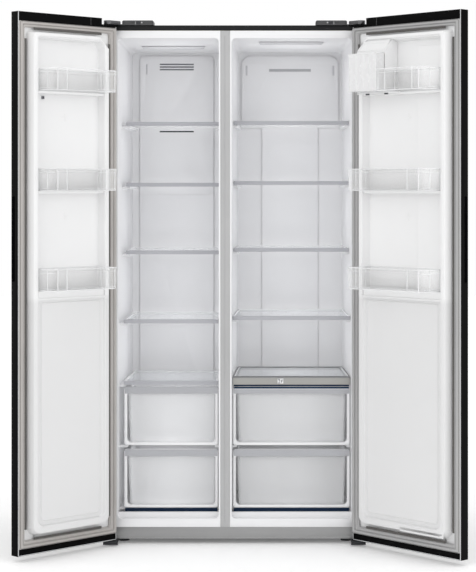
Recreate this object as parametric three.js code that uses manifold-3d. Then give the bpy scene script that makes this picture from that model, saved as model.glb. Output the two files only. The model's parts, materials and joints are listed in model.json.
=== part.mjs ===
// A side-by-side refrigerator with both doors standing open: freezer on the left, fridge on the right.
// Millimetres, +Z up. While it is being built, X = 0 is the middle of the cabinet, Y = 0 is the
// cabinet's front plane with +Y into the cabinet, and Z = 0 is the floor.
import * as THREE from 'three';
import { mergeVertices } from 'three/addons/utils/BufferGeometryUtils.js';
import Module from 'manifold-3d';

const wasm = await Module();
wasm.setup();

// ---------------------------------------------------------------- driving dimensions
const GAP = 0.3; // between pieces that touch
const THROUGH = 1; // how far a cutter runs past the face it cuts

const cabinet = { width: 895, depth: 630, bottom: 18, top: 1755, skin: 2, frontReturn: 17.5 };
const liner = { wall: 2.5, draft: 0.032, cornerRadius: 14, back: 478, lipHeight: 18, lipDepth: 12,
  lipClearance: 4 };
const cavity = {
  side: 51.6, // from the cabinet's outer side to the cavity at the front
  ceilingDrop: 43,
  floor: 85,
  lowerDepth: 395, // depth in front of the machine compartment
  stepHeight: 310, // above this the cavity runs back over the machine compartment
};
const split = { x: -34, gap: 4 }; // the line between the doors
const mullion = { left: 14, right: 18, lip: 5.5, thickness: 2.5 }; // about the split line
const rail = { height: 39, returnDrop: 6, plate: 2, foot: 40 };
const machine = { front: 430, height: 242 };

const door = { bodyThickness: 38, gasketGap: 14, lift: 1, rise: 18, skin: 3, topCap: 30, bottomCap: 23,
  outerRadius: 5, innerRadius: 0.8 };
const hinge = { inset: 22, pinRadius: 5, boreRadius: 5.6, pinDepth: 11, pocketWidth: 62, pocketDepth: 20.5 };
const openAngle = { left: 135, right: 133 };
const gasket = { base: 0.3, height: 13.2, hingeInner: 36, freeInner: 20, edge: 3.3, hingeLip: 18, lip: 8,
  capInner: 27, finWidth: 12, finLevel: 9, finThickness: 1.5, cornerLength: 36 };
const dike = { height: 38, hingeFoot: 49, hingeTop: 62, freeFoot: 32.6, freeTop: 36.5, width: 18,
  footDrop: 62, topDrop: 68, footRise: 63, topRise: 72, chamfer: 36, radius: 26, freeCorner: 10, crest: 3 };
const recess = { floor: 5, bottomRise: 829, topDrop: 82, draft: 4, lowerFloor: 25, lowerRise: 93, sill: 6 };
const grip = { rise: 54, length: 275, lip: 3, width: 18, depth: 14, wall: 2 };
const bin = { inset: 2, back: 6, front: { left: 114, right: 121 }, height: 72, wall: 3, draft: 4, aboveSill: 24,
  belowTop: 172.5, ledgeDepth: 34, ledgeHeight: 9, ledgeSlope: 8, backRadius: 3, frontRadius: 12 };
const dairy = { width: 126, height: 127, housingFront: 68, coverBack: 72, coverFront: 109, wall: 3,
  slope: 38, brow: 12, rib: 5, ribHeight: 1.2 };
const flapRibs = [0.04, 0.28, 0.42, 0.55, 0.72, 0.93]; // of the flap's length

const shelf = { thickness: 5, bar: 13.5, barDepth: 14, rim: 7, rimHeight: 9, upperFront: 110, lowerFront: 40,
  back: 400, ledgeHeight: 8, ledgeWidth: 12 };
const shelfShares = [0.18, 0.38, 0.58, 0.76]; // of the space between the drawer cover and the ceiling
const drawer = { front: 45, frontThickness: 14, back: 388, wall: 3, draft: 6, clearance: 29, between: 13,
  height: 200, handle: 20, frame: 12, windowDepth: 5, topGap: 14, cornerRadius: 9, tubRadius: 12 };
const fingerGroove = { inset: 60, depth: 7, height: 8, belowTop: 6 }; // behind a drawer's handle
const cover = { above: 7, freezerBar: 13, fridgeBar: 27, back: 395 };
const knob = { fromLeft: 166, width: 20, height: 17, reach: 7, slot: 80, slotHeight: 8, tongue: 6 };

const freezerDuct = { front: 470, wall: 3, left: 42, right: 32, topDrop: 12, radius: 16, bottomLift: 22,
  slotWidth: 124, slotHeight: 5, slotPitch: 9.6, slotDrop: 27, seamDrop: 505, seam: 2,
  sideSlot: 22, sideSlotWidth: 5, sideSlotDrop: 29, sideSlotHeight: 37, motorRadius: 14 };
const fridgeDuct = { front: 470, side: 27, height: 261, radius: 34, column: 102, slotWidth: 152, slotHeight: 10,
  slotDrop: 46, sideSlot: 7, sideSlotInset: 18, sideSlotDrop: 24, sideSlotHeight: 36, wall: 3 };
const airWell = { back: 560, inset: 8, aboveFan: 24 }; // the hollow behind the freezer's duct cover
const lamp = { length: 225, width: 40, height: 8, radius: 10, taper: 6, freezerY: 240, fridgeY: 105 };

const hingeArm = { back: 60, thickness: 4, noseHeight: 13, noseRadius: 15, outer: 12, inner: 39, width: 150 };
const hingeCover = { from: 45, length: 106, front: -8, back: 72, height: 16, wall: 2.5, radius: 4, bevel: 3 };
const coverSlot = { from: 30, to: 72, depth: 2, low: 6, high: 9 };
const lowerHinge = { outer: 16, inner: 34, front: -46, back: 38, thickness: 4, lip: 8, drop: 0.8 };
const foot = { inset: 67, y: 70, padRadius: 20, padHeight: 8, padTaper: 2, stemRadius: 7 };
const roller = { inset: 60, y: 590, width: 22, radius: 18, bore: 4, axle: 3.4, clearance: 3 };
const ear = { thickness: 2.4, reach: 12, below: 6, above: 22 }; // the plates that hold a roller's axle
const compressor = { x: -230, y: 528, radius: 82, height: 180, lowRound: 40, highRound: 50,
  plateReach: 14, plateDepth: 70, plateThickness: 6, stubRadius: 5, stubInset: 30, stubRise: 25 };
const terminalBox = { from: -12, to: 26, halfWidth: 24, low: 60, high: 120 }; // past the pot's radius
const evaporator = { front: 486, back: 548, margin: 18, bottom: 720, height: 430, fins: 15, slit: 7,
  spine: 12 };
const fan = { y: 502, z: 1300, hubRadius: 20, hubDepth: 22, tipRadius: 62, blades: 5, bladeThickness: 3,
  chord: 34, pitch: 0.55 };
const rearCover = { side: 8, thickness: 2, slots: 9, slotWidth: 120, slotHeight: 6, slotPitch: 18,
  slotRise: 40 };
const backGroove = { depth: 0.8, halfWidth: 12, rise: 60, drop: 80 };

const halfWidth = cabinet.width / 2;
const cavityTop = cabinet.top - cavity.ceilingDrop;
const doorWidth = {
  left: halfWidth + split.x - split.gap / 2,
  right: halfWidth - split.x - split.gap / 2,
};
const doorBottom = cabinet.bottom + door.lift;
const doorTop = cabinet.top + door.rise;
const hingeY = -(door.bodyThickness + door.gasketGap) + hinge.inset;

// ---------------------------------------------------------------- colours
function finish(color, roughness, metalness = 0) {
  return new THREE.MeshStandardMaterial({ color, roughness, metalness });
}

const look = {
  blackPaint: finish(0x16171a, 0.35, 0.2),
  blackGlass: finish(0x08080a, 0.06),
  white: finish(0xeeeff0, 0.4),
  grey: finish(0xa9adb2, 0.5),
  darkGrey: finish(0x3c3e42, 0.6),
  gasket: finish(0xa39b96, 0.8),
  clear: finish(0xe4e8ec, 0.1),
  glass: finish(0xd8e4e2, 0.05),
  steel: finish(0xb4b7ba, 0.4, 0.9),
  foam: finish(0xe3d6a4, 0.95),
};

// ---------------------------------------------------------------- solids
function block([x0, x1], [y0, y1], [z0, z1]) {
  const box = new THREE.BoxGeometry(x1 - x0, y1 - y0, z1 - z0);
  return box.translate((x0 + x1) / 2, (y0 + y1) / 2, (z0 + z1) / 2);
}

function rod(radius, [z0, z1], x = 0, y = 0, sides = 20) {
  const cylinder = new THREE.CylinderGeometry(radius, radius, z1 - z0, sides);
  return cylinder.rotateX(Math.PI / 2).translate(x, y, (z0 + z1) / 2);
}

// A rectangle's outline with a radius (or, with one step, a chamfer) on each corner. The corner where
// both run highest may have its own.
function ring([a0, a1], [b0, b1], lowRadius, highRadius = lowRadius, steps = 4, farRadius = highRadius) {
  const corners = [
    [a1 - farRadius, b1 - farRadius, farRadius, 0],
    [a0 + highRadius, b1 - highRadius, highRadius, 1],
    [a0 + lowRadius, b0 + lowRadius, lowRadius, 2],
    [a1 - lowRadius, b0 + lowRadius, lowRadius, 3],
  ];
  const points = [];
  for (const [a, b, radius, quarter] of corners) {
    for (let i = 0; i <= steps; i += 1) {
      const angle = (quarter + i / steps) * (Math.PI / 2);
      points.push([a + radius * Math.cos(angle), b + radius * Math.sin(angle)]);
    }
  }
  return points;
}

// A closed body through outlines with equal point counts, each at a place along 'y' or 'z'.
function loft(axis, sections) {
  const place = { y: ([a, b], at) => [a, at, b], z: ([a, b], at) => [a, b, at] }[axis];
  const count = sections[0].ring.length;
  const positions = sections.flatMap(({ at, ring: points }) => points.flatMap((p) => place(p, at)));
  const index = [];
  for (let s = 0; s + 1 < sections.length; s += 1) {
    for (let i = 0; i < count; i += 1) {
      const [a, b] = [s * count + i, s * count + ((i + 1) % count)];
      index.push(a, b, b + count, a, b + count, a + count);
    }
  }
  const last = (sections.length - 1) * count;
  for (let i = 1; i + 1 < count; i += 1) {
    index.push(0, i + 1, i, last, last + i, last + i + 1);
  }
  const geometry = new THREE.BufferGeometry();
  geometry.setAttribute('position', new THREE.Float32BufferAttribute(positions, 3));
  const rising = sections[sections.length - 1].at > sections[0].at;
  const outward = rising === (axis === 'z');
  geometry.setIndex(outward ? index : index.reverse());
  return geometry;
}

function solid(shape) {
  if (!shape.isBufferGeometry) {
    return shape;
  }
  const bare = shape.clone();
  bare.deleteAttribute('normal');
  bare.deleteAttribute('uv');
  const merged = mergeVertices(bare, 1e-4);
  const vertProperties = new Float32Array(merged.attributes.position.array);
  const triVerts = new Uint32Array(merged.index.array);
  return new wasm.Manifold(new wasm.Mesh({ numProp: 3, vertProperties, triVerts }));
}

const join = (...shapes) => shapes.map(solid).reduce((whole, piece) => whole.add(piece));
const common = (one, other) => solid(one).intersect(solid(other));

function cut(shape, ...cutters) {
  return cutters.map(solid).reduce((left, piece) => left.subtract(piece), solid(shape));
}

function toGeometry(shape) {
  if (shape.isBufferGeometry) {
    return shape;
  }
  const { vertProperties, triVerts } = shape.getMesh();
  const geometry = new THREE.BufferGeometry();
  geometry.setAttribute('position', new THREE.Float32BufferAttribute(vertProperties, 3));
  geometry.setIndex(Array.from(triVerts));
  return geometry;
}

// The same geometry seen in a mirror across X = 0, still facing outwards.
function mirrored(geometry) {
  const copy = geometry.clone().scale(-1, 1, 1);
  const index = copy.index.array;
  for (let i = 0; i < index.length; i += 3) {
    [index[i], index[i + 1]] = [index[i + 1], index[i]];
  }
  return copy;
}

function named(name, shape, material, mirror = false) {
  const geometry = toGeometry(shape);
  const mesh = new THREE.Mesh(mirror ? mirrored(geometry) : geometry, material);
  mesh.name = name;
  return mesh;
}

function pair(name, shape, material) {
  return [named(`${name}_left`, shape, material), named(`${name}_right`, shape, material, true)];
}

// ---------------------------------------------------------------- cavities
// x0 and x1 are the cavity's sides at the front plane; draftLeft and draftRight narrow it to the back.
const freezer = {
  name: 'freezer',
  x0: -halfWidth + cavity.side,
  x1: split.x - mullion.left - mullion.lip - GAP,
  flange: [-halfWidth + cabinet.frontReturn + GAP, split.x - mullion.left - GAP],
  draft: [liner.draft, 0],
  well: true,
  side: [16, 3],
};
const fridge = {
  name: 'fridge',
  x0: split.x + mullion.right + mullion.lip - GAP,
  x1: halfWidth - cavity.side + GAP,
  flange: [split.x + mullion.right + GAP, halfWidth - cabinet.frontReturn - GAP],
  draft: [liner.draft, liner.draft],
  well: false,
  side: [2, 2],
};

const sidesAt = (room, y) => [room.x0 + room.draft[0] * y, room.x1 - room.draft[1] * y];
const ceilingAt = (y) => cavityTop - liner.draft * y;
const lipFront = dike.height - door.gasketGap + liner.lipClearance; // just behind the closed door's dike

// What stands between the walls, with its clearance, at a depth.
function spanAt(room, y) {
  const [x0, x1] = sidesAt(room, y);
  return [x0 + room.side[0], x1 - room.side[1]];
}

// The freezer's duct cover, left to right and low to high.
const freezerCover = {
  x: [freezer.x0 + freezerDuct.left, freezer.x1 - freezerDuct.right],
  z: [cavity.stepHeight + freezerDuct.bottomLift, ceilingAt(freezerDuct.front) - freezerDuct.topDrop],
};

// The hollow for the evaporator and its fan, behind the duct cover.
function airWellBody(grow) {
  const [x0, x1] = freezerCover.x;
  const low = freezerCover.z[0] + airWell.inset;
  const high = fan.z + fan.tipRadius + airWell.aboveFan;
  const reach = airWell.inset - grow;
  const ys = [liner.back - THROUGH, airWell.back + grow];
  return block([x0 + reach, x1 - reach], ys, [low - grow, high + grow]);
}

// The cavity as a solid, grown outwards by the wall it is given.
function roomBody(room, grow, front) {
  const section = (y, floor, at = y) => {
    const [x0, x1] = sidesAt(room, y);
    return {
      at,
      ring: ring([x0 - grow, x1 + grow], [floor - grow, ceilingAt(y) + grow], liner.cornerRadius),
    };
  };
  const whole = loft('y', [
    section(0, cavity.floor, front),
    section(cavity.lowerDepth, cavity.floor, cavity.lowerDepth + grow),
  ]);
  const upper = loft('y', [
    section(cavity.lowerDepth, cavity.stepHeight, cavity.lowerDepth - liner.cornerRadius),
    section(liner.back, cavity.stepHeight, liner.back + grow),
  ]);
  const cavityBody = join(whole, upper);
  return room.well ? join(cavityBody, airWellBody(grow)) : cavityBody;
}

// A rib along each side wall, following its draft, whose top carries a shelf or a drawer.
function ledges(room, y0, y1, top, reach) {
  const bite = liner.wall / 2;
  const left = (y) => [sidesAt(room, y)[0] - bite, spanAt(room, y)[0] + reach];
  const right = (y) => [spanAt(room, y)[1] - reach, sidesAt(room, y)[1] + bite];
  return [left, right].map((edges) => {
    const [front, back] = [edges(y0), edges(y1)];
    const outline = [[front[0], y0], [front[1], y0], [back[1], y1], [back[0], y1]];
    return loft('z', [top - shelf.ledgeHeight, top].map((at) => ({ at, ring: outline })));
  });
}

const lowerDrawer = cavity.floor + drawer.clearance;
const drawerBottoms = [lowerDrawer, lowerDrawer + drawer.height + drawer.between];
const coverUnder = drawerBottoms[1] + drawer.height + cover.above;
const coverTop = { freezer: coverUnder + cover.freezerBar, fridge: coverUnder + cover.fridgeBar };
const shelfTops = (room) => shelfShares.map((share) => {
  const base = coverTop[room.name];
  return base + share * (cavityTop - base);
});

function linerShell(room) {
  const wall = liner.wall;
  const bottom = cabinet.bottom + rail.height + GAP;
  const top = cabinet.top - cabinet.frontReturn - 2 * GAP;
  const flange = block(room.flange, [0, wall], [bottom, top]);
  const walls = cut(join(flange, roomBody(room, wall, wall / 2)), roomBody(room, 0, -THROUGH));
  const [x0, x1] = sidesAt(room, 0);
  const lipTop = cavity.floor + liner.lipHeight;
  const lipYs = [lipFront, lipFront + liner.lipDepth];
  const lip = common(
    block([x0 - wall / 2, x1 + wall / 2], lipYs, [cavity.floor - wall / 2, lipTop]),
    roomBody(room, wall / 2, 0),
  );
  const reach = shelf.ledgeWidth;
  const ribs = shelfTops(room).flatMap((height, level) => {
    const front = level === 0 ? shelf.lowerFront : shelf.upperFront;
    return ledges(room, front + shelf.barDepth + 2, shelf.back - 6, height - shelf.bar - GAP, reach);
  });
  const coverFront = shelf.lowerFront + shelf.barDepth + 2;
  ribs.push(...ledges(room, coverFront, cover.back - 2, coverUnder - GAP, reach / 4));
  for (const height of drawerBottoms) {
    const front = drawer.front + drawer.frontThickness + 2;
    ribs.push(...ledges(room, front, drawer.back, height - GAP, reach));
  }
  return join(walls, lip, ...ribs);
}

// ---------------------------------------------------------------- cabinet
function cabinetShell() {
  const { skin, frontReturn, bottom, top, depth } = cabinet;
  const outer = block([-halfWidth, halfWidth], [0, depth], [bottom, top]);
  const inside = block(
    [-halfWidth + skin, halfWidth - skin],
    [skin, depth + THROUGH],
    [bottom - THROUGH, top - skin],
  );
  const mouth = block(
    [-halfWidth + frontReturn, halfWidth - frontReturn],
    [-THROUGH, skin + THROUGH],
    [bottom - THROUGH, top - frontReturn],
  );
  return cut(outer, inside, mouth);
}

function backPanel() {
  const inner = halfWidth - cabinet.skin - GAP;
  const y1 = cabinet.depth - 1;
  const low = cabinet.bottom + machine.height + GAP;
  const panel = block([-inner, inner], [y1 - cabinet.skin, y1], [low, cabinet.top - cabinet.skin - GAP]);
  const grooves = [-0.5, 0, 0.5].map((share) => {
    const x = share * inner;
    return block([x - backGroove.halfWidth, x + backGroove.halfWidth], [y1 - backGroove.depth, y1 + THROUGH],
      [low + backGroove.rise, cabinet.top - backGroove.drop]);
  });
  return cut(panel, ...grooves);
}

function insulationFoam() {
  const inner = halfWidth - cabinet.skin - GAP;
  const y0 = liner.wall + 2 * GAP;
  const y1 = cabinet.depth - 1 - cabinet.skin - GAP;
  const floor = cabinet.bottom + cabinet.skin + 2 * GAP;
  const body = block([-inner, inner], [y0, y1], [floor, cabinet.top - cabinet.skin - GAP]);
  const room = (which) => roomBody(which, liner.wall + GAP, -THROUGH);
  const bay = block([-inner - THROUGH, inner + THROUGH], [machine.front, y1 + THROUGH],
    [floor - THROUGH, cabinet.bottom + machine.height]);
  const toe = block([-inner - THROUGH, inner + THROUGH], [-THROUGH, cabinet.skin + rail.plate + 2 * GAP],
    [floor - THROUGH, cabinet.bottom + rail.height]);
  return cut(body, room(freezer), room(fridge), bay, toe);
}

function centreMullion() {
  const zs = [cabinet.bottom + rail.height + GAP, cabinet.top - cabinet.frontReturn - 2 * GAP];
  const bar = block([split.x - mullion.left, split.x + mullion.right], [-0.5, mullion.thickness], zs);
  const groove = block([split.x - 1, split.x + 1], [-THROUGH, 0.6], [zs[0] + 20, zs[1] - 20]);
  return cut(bar, groove);
}

function bottomRail() {
  const inner = halfWidth - cabinet.skin - GAP;
  const mouth = halfWidth - cabinet.frontReturn - GAP;
  const low = cabinet.bottom;
  const y = cabinet.skin + GAP;
  const plate = block([-inner, inner], [y, y + rail.plate], [low, low + rail.height - rail.returnDrop]);
  const face = block([-mouth, mouth], [-0.5, y + rail.plate / 2], [low, low + rail.height]);
  const shelfFoot = block([-inner, inner], [y, rail.foot], [low, low + cabinet.skin]);
  const groove = block([-inner + 30, inner - 30], [-THROUGH, 0.4], [low + 8, low + 11]);
  return cut(join(plate, face, shelfFoot), groove);
}

function rollerWell(side) {
  const x = side * (halfWidth - roller.inset);
  const half = roller.width / 2 + roller.clearance;
  const reach = roller.radius + roller.clearance;
  const top = cabinet.bottom + 2 * roller.radius;
  return block([x - half, x + half], [roller.y - reach, roller.y + reach], [0, top]);
}

function rollerAxle(side) {
  const x = side * (halfWidth - roller.inset);
  const half = roller.width / 2 + roller.clearance;
  const overhang = half + ear.thickness - 0.4;
  const axle = rod(roller.axle, [-overhang, overhang], 0, 0, 12).rotateY(Math.PI / 2);
  axle.translate(x, roller.y, roller.radius);
  const ears = [-1, 1].map((end) => {
    const at = x + end * (half + 1);
    return block([at - ear.thickness / 2, at + ear.thickness / 2], [roller.y - ear.reach, roller.y + ear.reach],
      [roller.radius - ear.below, cabinet.bottom + ear.above]);
  });
  return [axle, ...ears];
}

function baseTray() {
  const inner = halfWidth - cabinet.skin - GAP;
  const floor = [cabinet.bottom, cabinet.bottom + cabinet.skin];
  const plate = block([-inner, inner], [rail.foot + GAP, cabinet.depth - 1 - cabinet.skin - GAP], floor);
  const rib = block([-inner, inner], [machine.front + 2, machine.front + 4], [floor[0], floor[1] + 12]);
  const wells = [rollerWell(-1), rollerWell(1)];
  const holes = [-1, 1].map((side) => {
    const x = side * (halfWidth - foot.inset);
    return rod(foot.stemRadius + GAP, [0, floor[1] + THROUGH], x, foot.y);
  });
  return join(cut(join(plate, rib), ...wells, ...holes), ...rollerAxle(-1), ...rollerAxle(1));
}

function rearPanel() {
  const inner = halfWidth - cabinet.skin - GAP - rearCover.side;
  const y1 = cabinet.depth - 1;
  const zs = [cabinet.bottom + cabinet.skin + 2, cabinet.bottom + machine.height - 2];
  const panel = block([-inner, inner], [y1 - rearCover.thickness, y1], zs);
  const slots = [];
  for (let i = 0; i < rearCover.slots; i += 1) {
    for (const x of [-inner / 2, inner / 2]) {
      const z = zs[0] + rearCover.slotRise + i * rearCover.slotPitch;
      slots.push(block([x - rearCover.slotWidth / 2, x + rearCover.slotWidth / 2], [y1 - 5, y1 + THROUGH],
        [z, z + rearCover.slotHeight]));
    }
  }
  return cut(panel, ...slots);
}

function levellingFoot() {
  const pad = new THREE.CylinderGeometry(foot.padRadius - foot.padTaper, foot.padRadius, foot.padHeight, 20);
  pad.rotateX(Math.PI / 2).translate(0, 0, foot.padHeight / 2);
  return join(pad, rod(foot.stemRadius, [foot.padHeight - 1, cabinet.bottom + cabinet.skin], 0, 0, 12));
}

function rearRoller() {
  const half = roller.width / 2;
  const profile = [
    [roller.bore, -half], [roller.radius - 2, -half], [roller.radius, -half + 2],
    [roller.radius, half - 2], [roller.radius - 2, half], [roller.bore, half], [roller.bore, -half],
  ].map(([r, y]) => new THREE.Vector2(r, y));
  return new THREE.LatheGeometry(profile, 24).rotateZ(Math.PI / 2);
}

function compressorPot() {
  const { radius, height, lowRound: low, highRound: high } = compressor;
  const quarter = [0, 1, 2, 3, 4, 5].map((i) => (i / 5) * (Math.PI / 2));
  const profile = [
    [0, 0],
    ...quarter.map((angle) => [radius - low + low * Math.sin(angle), low - low * Math.cos(angle)]),
    ...quarter.map((angle) => [radius - high + high * Math.cos(angle), height - high + high * Math.sin(angle)]),
    [0, height],
  ].map(([r, y]) => new THREE.Vector2(r, y));
  const pot = new THREE.LatheGeometry(profile, 24).rotateX(Math.PI / 2);
  const reach = radius + compressor.plateReach;
  const plate = block([-reach, reach], [-compressor.plateDepth, compressor.plateDepth],
    [0, compressor.plateThickness]);
  const box = terminalBox;
  const terminal = block([radius + box.from, radius + box.to], [-box.halfWidth, box.halfWidth],
    [box.low, box.high]);
  const inset = compressor.stubInset;
  const stubZs = [height - inset, height + compressor.stubRise];
  const stub = rod(compressor.stubRadius, stubZs, -radius + inset, inset, 12);
  return join(pot, plate, terminal, stub);
}

// ---------------------------------------------------------------- freezer air system
function freezerDuctCover() {
  const d = freezerDuct;
  const { x: span, z: zs } = freezerCover;
  const back = liner.back - GAP;
  const at = (y, inset, xs = span) => ({
    at: y, ring: ring([xs[0] + inset, xs[1] - inset], [zs[0] + inset, zs[1] - inset], d.radius - inset),
  });
  const shell = cut(
    loft('y', [at(d.front, 0), at(back, 0)]),
    loft('y', [at(d.front + d.wall, d.wall), at(back + THROUGH, d.wall)]),
  );
  const middle = (span[0] + span[1]) / 2;
  const through = [d.front - THROUGH, d.front + d.wall + THROUGH];
  const slots = [0, 1, 2].map((i) => {
    const z = zs[1] - d.slotDrop - i * d.slotPitch;
    return block([middle - d.slotWidth / 2, middle + d.slotWidth / 2], through, [z - d.slotHeight, z]);
  });
  const low = shelfTops(freezer)[3] - shelf.bar - 6;
  slots.push(block([middle - d.slotWidth / 2, middle + d.slotWidth / 2], through, [low - d.slotHeight, low]));
  const side = span[0] + d.sideSlot;
  slots.push(block([side, side + d.sideSlotWidth], through,
    [zs[1] - d.sideSlotDrop - d.sideSlotHeight, zs[1] - d.sideSlotDrop]));
  const seam = block([span[0] - THROUGH, span[1] + THROUGH], [d.front - THROUGH, d.front + 1],
    [zs[1] - d.seamDrop, zs[1] - d.seamDrop + d.seam]);
  const motor = rod(d.motorRadius, [0, fan.y - d.front - d.wall - 2], 0, 0, 16).rotateX(-Math.PI / 2);
  motor.translate(middle, d.front + d.wall - GAP, fan.z);
  return join(cut(shell, ...slots, seam), motor);
}

function fridgeDuctCover() {
  const d = fridgeDuct;
  const top = ceilingAt(d.front) - freezerDuct.topDrop;
  const head = [fridge.x0 + d.side, fridge.x1 - d.side];
  const column = [fridge.x0 + d.column, fridge.x1 - d.column];
  const low = cavity.stepHeight + freezerDuct.bottomLift;
  const back = liner.back - GAP;
  const headZs = [top - d.height, top];
  const shape = (inset, y0, y1) => {
    const outline = ring([head[0] + inset, head[1] - inset], [headZs[0] + inset, headZs[1] - inset],
      4, d.radius - inset);
    const neck = block([column[0] + inset, column[1] - inset], [y0, y1], [low + inset, headZs[0] + 20]);
    return join(loft('y', [y0, y1].map((y) => ({ at: y, ring: outline }))), neck);
  };
  const shell = cut(shape(0, d.front, back), shape(d.wall, d.front + d.wall, back + THROUGH));
  const middle = (head[0] + head[1]) / 2;
  const through = [d.front - THROUGH, d.front + d.wall + THROUGH];
  const z = top - d.slotDrop;
  const slots = [block([middle - d.slotWidth / 2, middle + d.slotWidth / 2], through, [z - d.slotHeight, z])];
  const sideLow = z - d.sideSlotDrop;
  for (const x of [head[0] + d.sideSlotInset, head[1] - d.sideSlotInset]) {
    slots.push(block([x - d.sideSlot / 2, x + d.sideSlot / 2], through, [sideLow, sideLow + d.sideSlotHeight]));
  }
  return cut(shell, ...slots);
}

function lampLens(room, y) {
  const [x0, x1] = sidesAt(room, y);
  const middle = (x0 + x1) / 2;
  const top = ceilingAt(y + lamp.width) - GAP;
  const half = lamp.length / 2;
  const outline = (inset) => ring([middle - half + inset, middle + half - inset],
    [y + inset, y + lamp.width - inset], lamp.radius);
  return loft('z', [
    { at: top - lamp.height, ring: outline(lamp.taper) },
    { at: top, ring: outline(0) },
  ]);
}

function evaporatorBlock() {
  const e = evaporator;
  const xs = [freezerCover.x[0] + e.margin, freezerCover.x[1] - e.margin];
  const body = block(xs, [e.front, e.back], [e.bottom, e.bottom + e.height]);
  const pitch = (xs[1] - xs[0]) / e.fins;
  const slits = [];
  for (let i = 0; i < e.fins; i += 1) {
    const x = xs[0] + (i + 0.5) * pitch;
    slits.push(block([x - e.slit / 2, x + e.slit / 2], [e.front - THROUGH, e.back - e.spine],
      [e.bottom - THROUGH, e.bottom + e.height + THROUGH]));
  }
  return cut(body, ...slits);
}

function evaporatorFan() {
  const f = fan;
  const hub = rod(f.hubRadius, [0, f.hubDepth], 0, 0, 20).rotateX(-Math.PI / 2);
  const blades = [];
  for (let i = 0; i < f.blades; i += 1) {
    const blade = block([-f.chord / 2, f.chord / 2], [-f.bladeThickness / 2, f.bladeThickness / 2],
      [f.hubRadius - 6, f.tipRadius]);
    blade.rotateZ(f.pitch).translate(0, f.hubDepth / 2, 0).rotateY((i / f.blades) * 2 * Math.PI);
    blades.push(blade);
  }
  return join(hub, ...blades);
}

// ---------------------------------------------------------------- shelves and drawers
// A glass sheet in a frame, as wide as the cavity is at each depth. Z = 0 is its top.
function framedShelf(room, front, back, bar) {
  const outline = (y, inset = 0) => {
    const [x0, x1] = spanAt(room, y);
    return [x0 + inset, x1 - inset];
  };
  const slab = (inset, y0, y1, z0, z1) => {
    const [a0, a1] = outline(y0, inset);
    const [b0, b1] = outline(y1, inset);
    return loft('z', [z0, z1].map((z) => ({ at: z, ring: [[a0, y0], [a1, y0], [b1, y1], [b0, y1]] })));
  };
  const rimLow = -Math.min(bar, shelf.rimHeight);
  const frame = slab(0, front, back, rimLow, 0);
  const glass = [front + shelf.barDepth, back - shelf.rim];
  const under = slab(shelf.rim, ...glass, rimLow - THROUGH, -1 - shelf.thickness);
  const over = slab(shelf.rim, ...glass, -1, THROUGH);
  const lip = slab(0, front, front + shelf.barDepth, -bar, 0);
  return cut(join(frame, lip), under, over);
}

function shelfMesh(room, level) {
  const front = level === 0 ? shelf.lowerFront : shelf.upperFront;
  const shape = framedShelf(room, front, shelf.back, shelf.bar);
  const mesh = named(`${room.name}_shelf_${4 - level}`, shape, look.glass);
  mesh.position.z = shelfTops(room)[level];
  return mesh;
}

function crisperCover() {
  const plate = framedShelf(fridge, shelf.lowerFront, cover.back, cover.fridgeBar);
  const x = fridge.x0 + knob.fromLeft;
  const z = -cover.fridgeBar / 2;
  const half = knob.slotHeight / 2;
  const ys = [shelf.lowerFront - THROUGH, shelf.lowerFront + knob.tongue + 1];
  const slot = block([x - knob.slot / 2, x + knob.slot / 2], ys, [z - half, z + half]);
  return cut(plate, slot);
}

function humiditySlider() {
  const half = knob.width / 2;
  const head = block([-half, half], [-knob.reach, -GAP], [-knob.height / 2, knob.height / 2]);
  const inner = knob.slotHeight / 2 - 0.5;
  const ridgeHalf = knob.height / 2 - 2;
  const ridge = block([-1.5, 1.5], [-knob.reach - 2, -knob.reach + 1], [-ridgeHalf, ridgeHalf]);
  const tongue = block([-half + 4, half - 4], [-1, knob.tongue], [-inner, inner]);
  return join(head, ridge, tongue);
}

// Z = 0 is the drawer's bottom; the front frame overlaps the tub's sides.
function drawerFront(room) {
  const d = drawer;
  const [x0, x1] = spanAt(room, d.front + d.frontThickness);
  const ys = [d.front, d.front + d.frontThickness];
  const at = (y, inset) => {
    const outline = ring([x0 + inset, x1 - inset], [inset, d.height - inset], d.cornerRadius - inset / 2);
    return { at: y, ring: outline };
  };
  const plate = loft('y', [at(ys[0], 2), at(ys[0] + 3, 0), at(ys[1], 0)]);
  const top = d.height - d.handle;
  const windowYs = [ys[0] - THROUGH, ys[0] + d.windowDepth];
  const window = block([x0 + d.frame, x1 - d.frame], windowYs, [d.frame, top - 2]);
  const f = fingerGroove;
  const finger = block([x0 + f.inset, x1 - f.inset], [ys[1] - f.depth, ys[1] + THROUGH],
    [top - f.height, d.height - f.belowTop]);
  return cut(plate, window, finger);
}

function drawerTub(room) {
  const d = drawer;
  const y0 = d.front + d.frontThickness + GAP;
  const [x0, x1] = spanAt(room, d.back);
  const top = d.height - d.topGap;
  const at = (z, inset, lift = 0) => {
    const shrink = inset + (d.draft * (top - z)) / top;
    const outline = ring([x0 + shrink, x1 - shrink], [y0 + inset, d.back - shrink], d.tubRadius);
    return { at: z + lift, ring: outline };
  };
  const outer = loft('z', [at(0, 1), at(top, 1)]);
  const inner = loft('z', [at(d.wall, 1 + d.wall), at(top, 1 + d.wall, THROUGH)]);
  return cut(outer, inner);
}

function drawersOf(room) {
  return drawerBottoms.flatMap((bottom, level) => {
    const which = level === 0 ? 'lower' : 'upper';
    const tub = named(`${room.name}_${which}_drawer_tub`, drawerTub(room), look.clear);
    const front = named(`${room.name}_${which}_drawer_front`, drawerFront(room), look.white);
    tub.position.z = bottom;
    front.position.z = bottom;
    return [tub, front];
  });
}

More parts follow.
